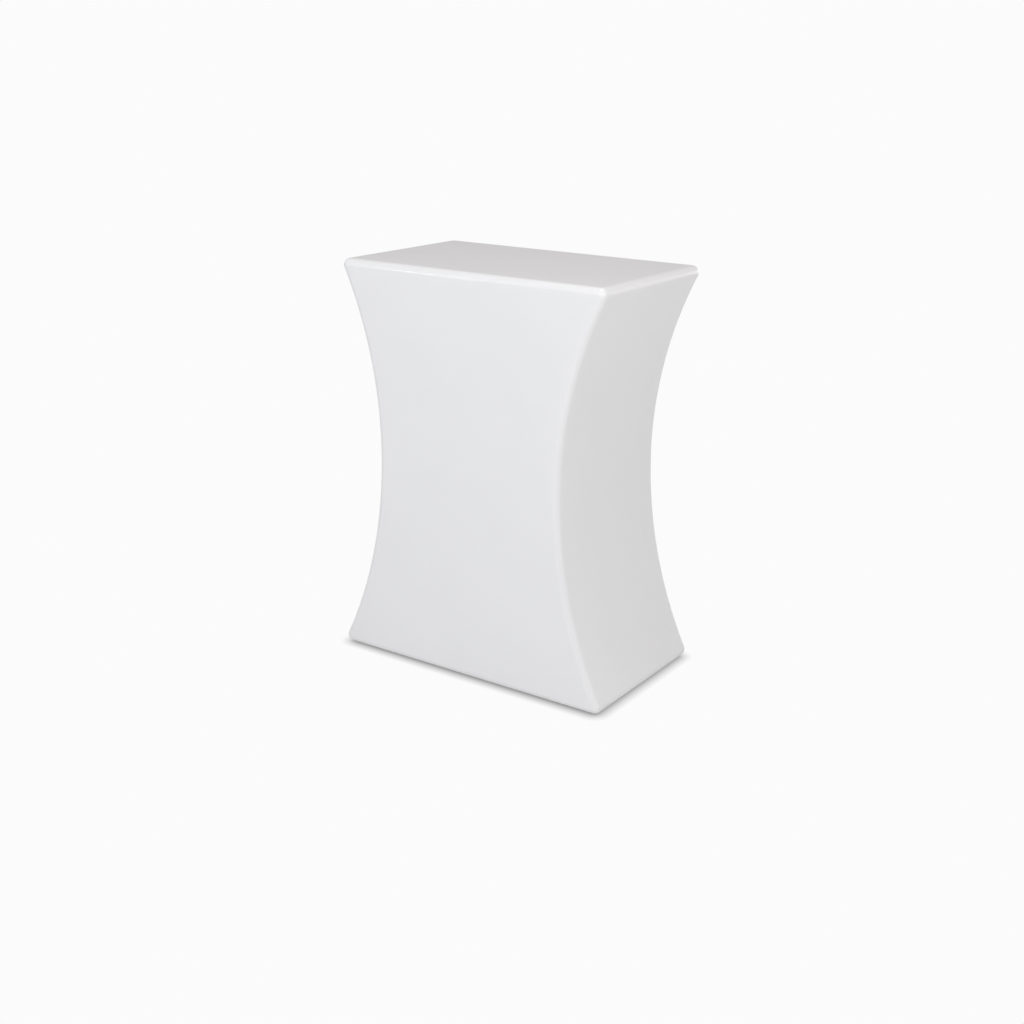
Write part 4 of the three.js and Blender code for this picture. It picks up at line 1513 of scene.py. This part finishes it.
# %% Pull tab: an eye round the pin, a neck and a blade with a raised rim
pull_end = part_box("zip_pull")[0].z
EYE = 1.45 * MM
eye_points = [(0, pin_y + EYE * s, pin_z + EYE * c) for c, s in circle(24)]
blade_y = (pin_y - 0.6 * MM, pin_y + 0.6 * MM)
blade_top = pin_z - 3.4 * MM
rim_shape = rounded_outline(3.0 * MM, 2.4 * MM, pull_end, blade_top, 1.6 * MM)
field_shape = rounded_outline(2.2 * MM, 1.7 * MM, pull_end + 0.9 * MM, blade_top - 0.9 * MM, 1.0 * MM)


def rimmed_blade(name, outer, inner, low, high, sunk):
    """Blade whose faces are sunk inside a raised rim, on both sides."""
    rings = [(inner, low + sunk), (inner, low), (outer, low)]
    rings += [(outer, high), (inner, high), (inner, high - sunk)]
    verts = [(x, y, z) for ring, y in rings for x, z in ring]
    piece = new_piece(name, verts, ring_faces(len(rings), len(outer)), outward=None)
    return bevelled(piece, 0.1 * MM, 2)


pull = joined_piece("zip_pull_tab", [
    bar("eye", eye_points, 0.45 * MM, closed=True),
    soft_box("neck", (-0.9 * MM, blade_y[0] + 0.1 * MM, blade_top - 0.5 * MM),
             (0.9 * MM, blade_y[1] - 0.1 * MM, pin_z - EYE), 0.25 * MM, 3),
    rimmed_blade("blade", rim_shape, field_shape, *blade_y, 0.25 * MM),
])
wear(pull, zip_metal, "zip_pull", ("zip_pull",))
print("pull:", len(pull.data.polygons), "faces")

# %% [markdown]
# ## The feet
# Each foot is a threaded stem with a rubber pad on its lower end. The stem screws into a metal
# insert in the base board. The pad is turned on a lathe with rings in its sole, the thread is a
# round surface whose radius follows a triangle wave, and both share one helper.


# %% Turned shapes
def lathe(name, x, y, profile, sides=64):
    """Closed turned piece about a vertical line through (x, y). The profile is (radius, z)."""
    verts = [(x + r * c, y + r * s, z) for c, s in circle(sides) for r, z in profile]
    piece = new_piece(name, verts, ring_faces(sides, len(profile), closed=True), outward=None)
    piece.data.set_sharp_from_angle(angle=SHARP_TURN)
    return piece


STEM_HOLE = 4.3 * MM  # radius of the hole in a pad and in an insert


def pad_profile(low, high):
    """Half section of the rubber pad: a ringed sole, a rounded rim and a boss round the stem."""
    top = high.z - 1.3 * MM
    radius = (high.x - low.x) / 2
    profile = [(STEM_HOLE, low.z + 2.2 * MM), (STEM_HOLE, low.z + 1.0 * MM)]
    for ring in range(4):
        start = 5.0 * MM + 2.5 * MM * ring
        profile += [(start, low.z + 0.9 * MM), (start + 0.35 * MM, low.z), (start + 1.35 * MM, low.z),
                    (start + 1.7 * MM, low.z + 0.9 * MM)]
    profile.append((radius - 1.2 * MM, low.z))
    rims = ((1 * MM, low.z + 1 * MM, range(-5, 1)), (2 * MM, top - 2 * MM, range(0, 7)))
    for corner, middle, steps in rims:
        for step in steps:
            angle = HALF_PI * step / 6
            profile.append((radius - corner * (1 - math.cos(angle)), middle + corner * math.sin(angle)))
    profile += [(8.6 * MM, top), (8.0 * MM, top + 0.5 * MM), (7.8 * MM, high.z), (STEM_HOLE, high.z)]
    return profile


PITCH = 1.25 * MM
THREAD_DEPTH = 0.7 * MM


def threaded_stem(name, low, high):
    """Stem with a right-hand thread: the radius falls and rises once for each pitch."""
    x, y = (low.x + high.x) / 2, (low.y + high.y) / 2
    outer = (high.x - low.x) / 2
    sides, per_turn = 40, 10
    rows = int((high.z - low.z) / PITCH * per_turn) + 1
    verts = []
    for r in range(rows):
        z = low.z + (high.z - low.z) * r / (rows - 1)
        chamfer = min(1, (min(z - low.z, high.z - z) + 0.3 * MM) / (1.0 * MM))
        for k, (c, s) in enumerate(circle(sides)):
            phase = (z / PITCH - k / sides) % 1
            cut = THREAD_DEPTH * min(1, max(0, 1.25 * (1 - abs(2 * phase - 1)) - 0.12))
            radius = (outer - cut) * (0.82 + 0.18 * chamfer)
            verts.append((x + radius * c, y + radius * s, z))
    return new_piece(name, verts, ring_faces(rows, sides), outward=None)


def insert_profile(low, high):
    """Half section of the threaded insert: a thin flange with a rounded edge over a barrel."""
    return [
        (STEM_HOLE, low.z), (10.6 * MM, low.z),
        (11 * MM, low.z + 0.4 * MM), (11 * MM, low.z + 1.2 * MM),
        (5.4 * MM, low.z + 1.2 * MM), (5.4 * MM, high.z - 0.6 * MM),
        (4.9 * MM, high.z), (STEM_HOLE, high.z),
    ]


for corner in ("front_left", "front_right", "back_left", "back_right"):
    pad_node, stem_node, insert_node = (f"foot_{part}_{corner}" for part in ("pad", "stem", "insert"))
    low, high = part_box(pad_node)
    x, y = (low.x + high.x) / 2, (low.y + high.y) / 2
    pad = lathe(f"pad_{corner}", x, y, pad_profile(low, high))
    wear(pad, rubber, pad_node, (pad_node,))
    stem = threaded_stem(f"stem_{corner}", *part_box(stem_node))
    wear(stem, zinc, stem_node, (stem_node,))
    insert = lathe(f"insert_{corner}", x, y, insert_profile(*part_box(insert_node)))
    wear(insert, zinc, replaced=(insert_node,))
print("feet made")

# %% [markdown]
# ## Clearing up
# The cut size and area of every panel are looked up once more. Then the small shapes that the
# rows of stitches and teeth were copied from are removed.

for panel in PANELS:
    size, area = cuts[panel]

templates = [o for o in bpy.data.objects if o.name.endswith(("_shape", "one_stitch"))]
for shape in templates:
    if shape.hide_render:
        bpy.data.objects.remove(shape)
print("sheets:", len(PANELS))
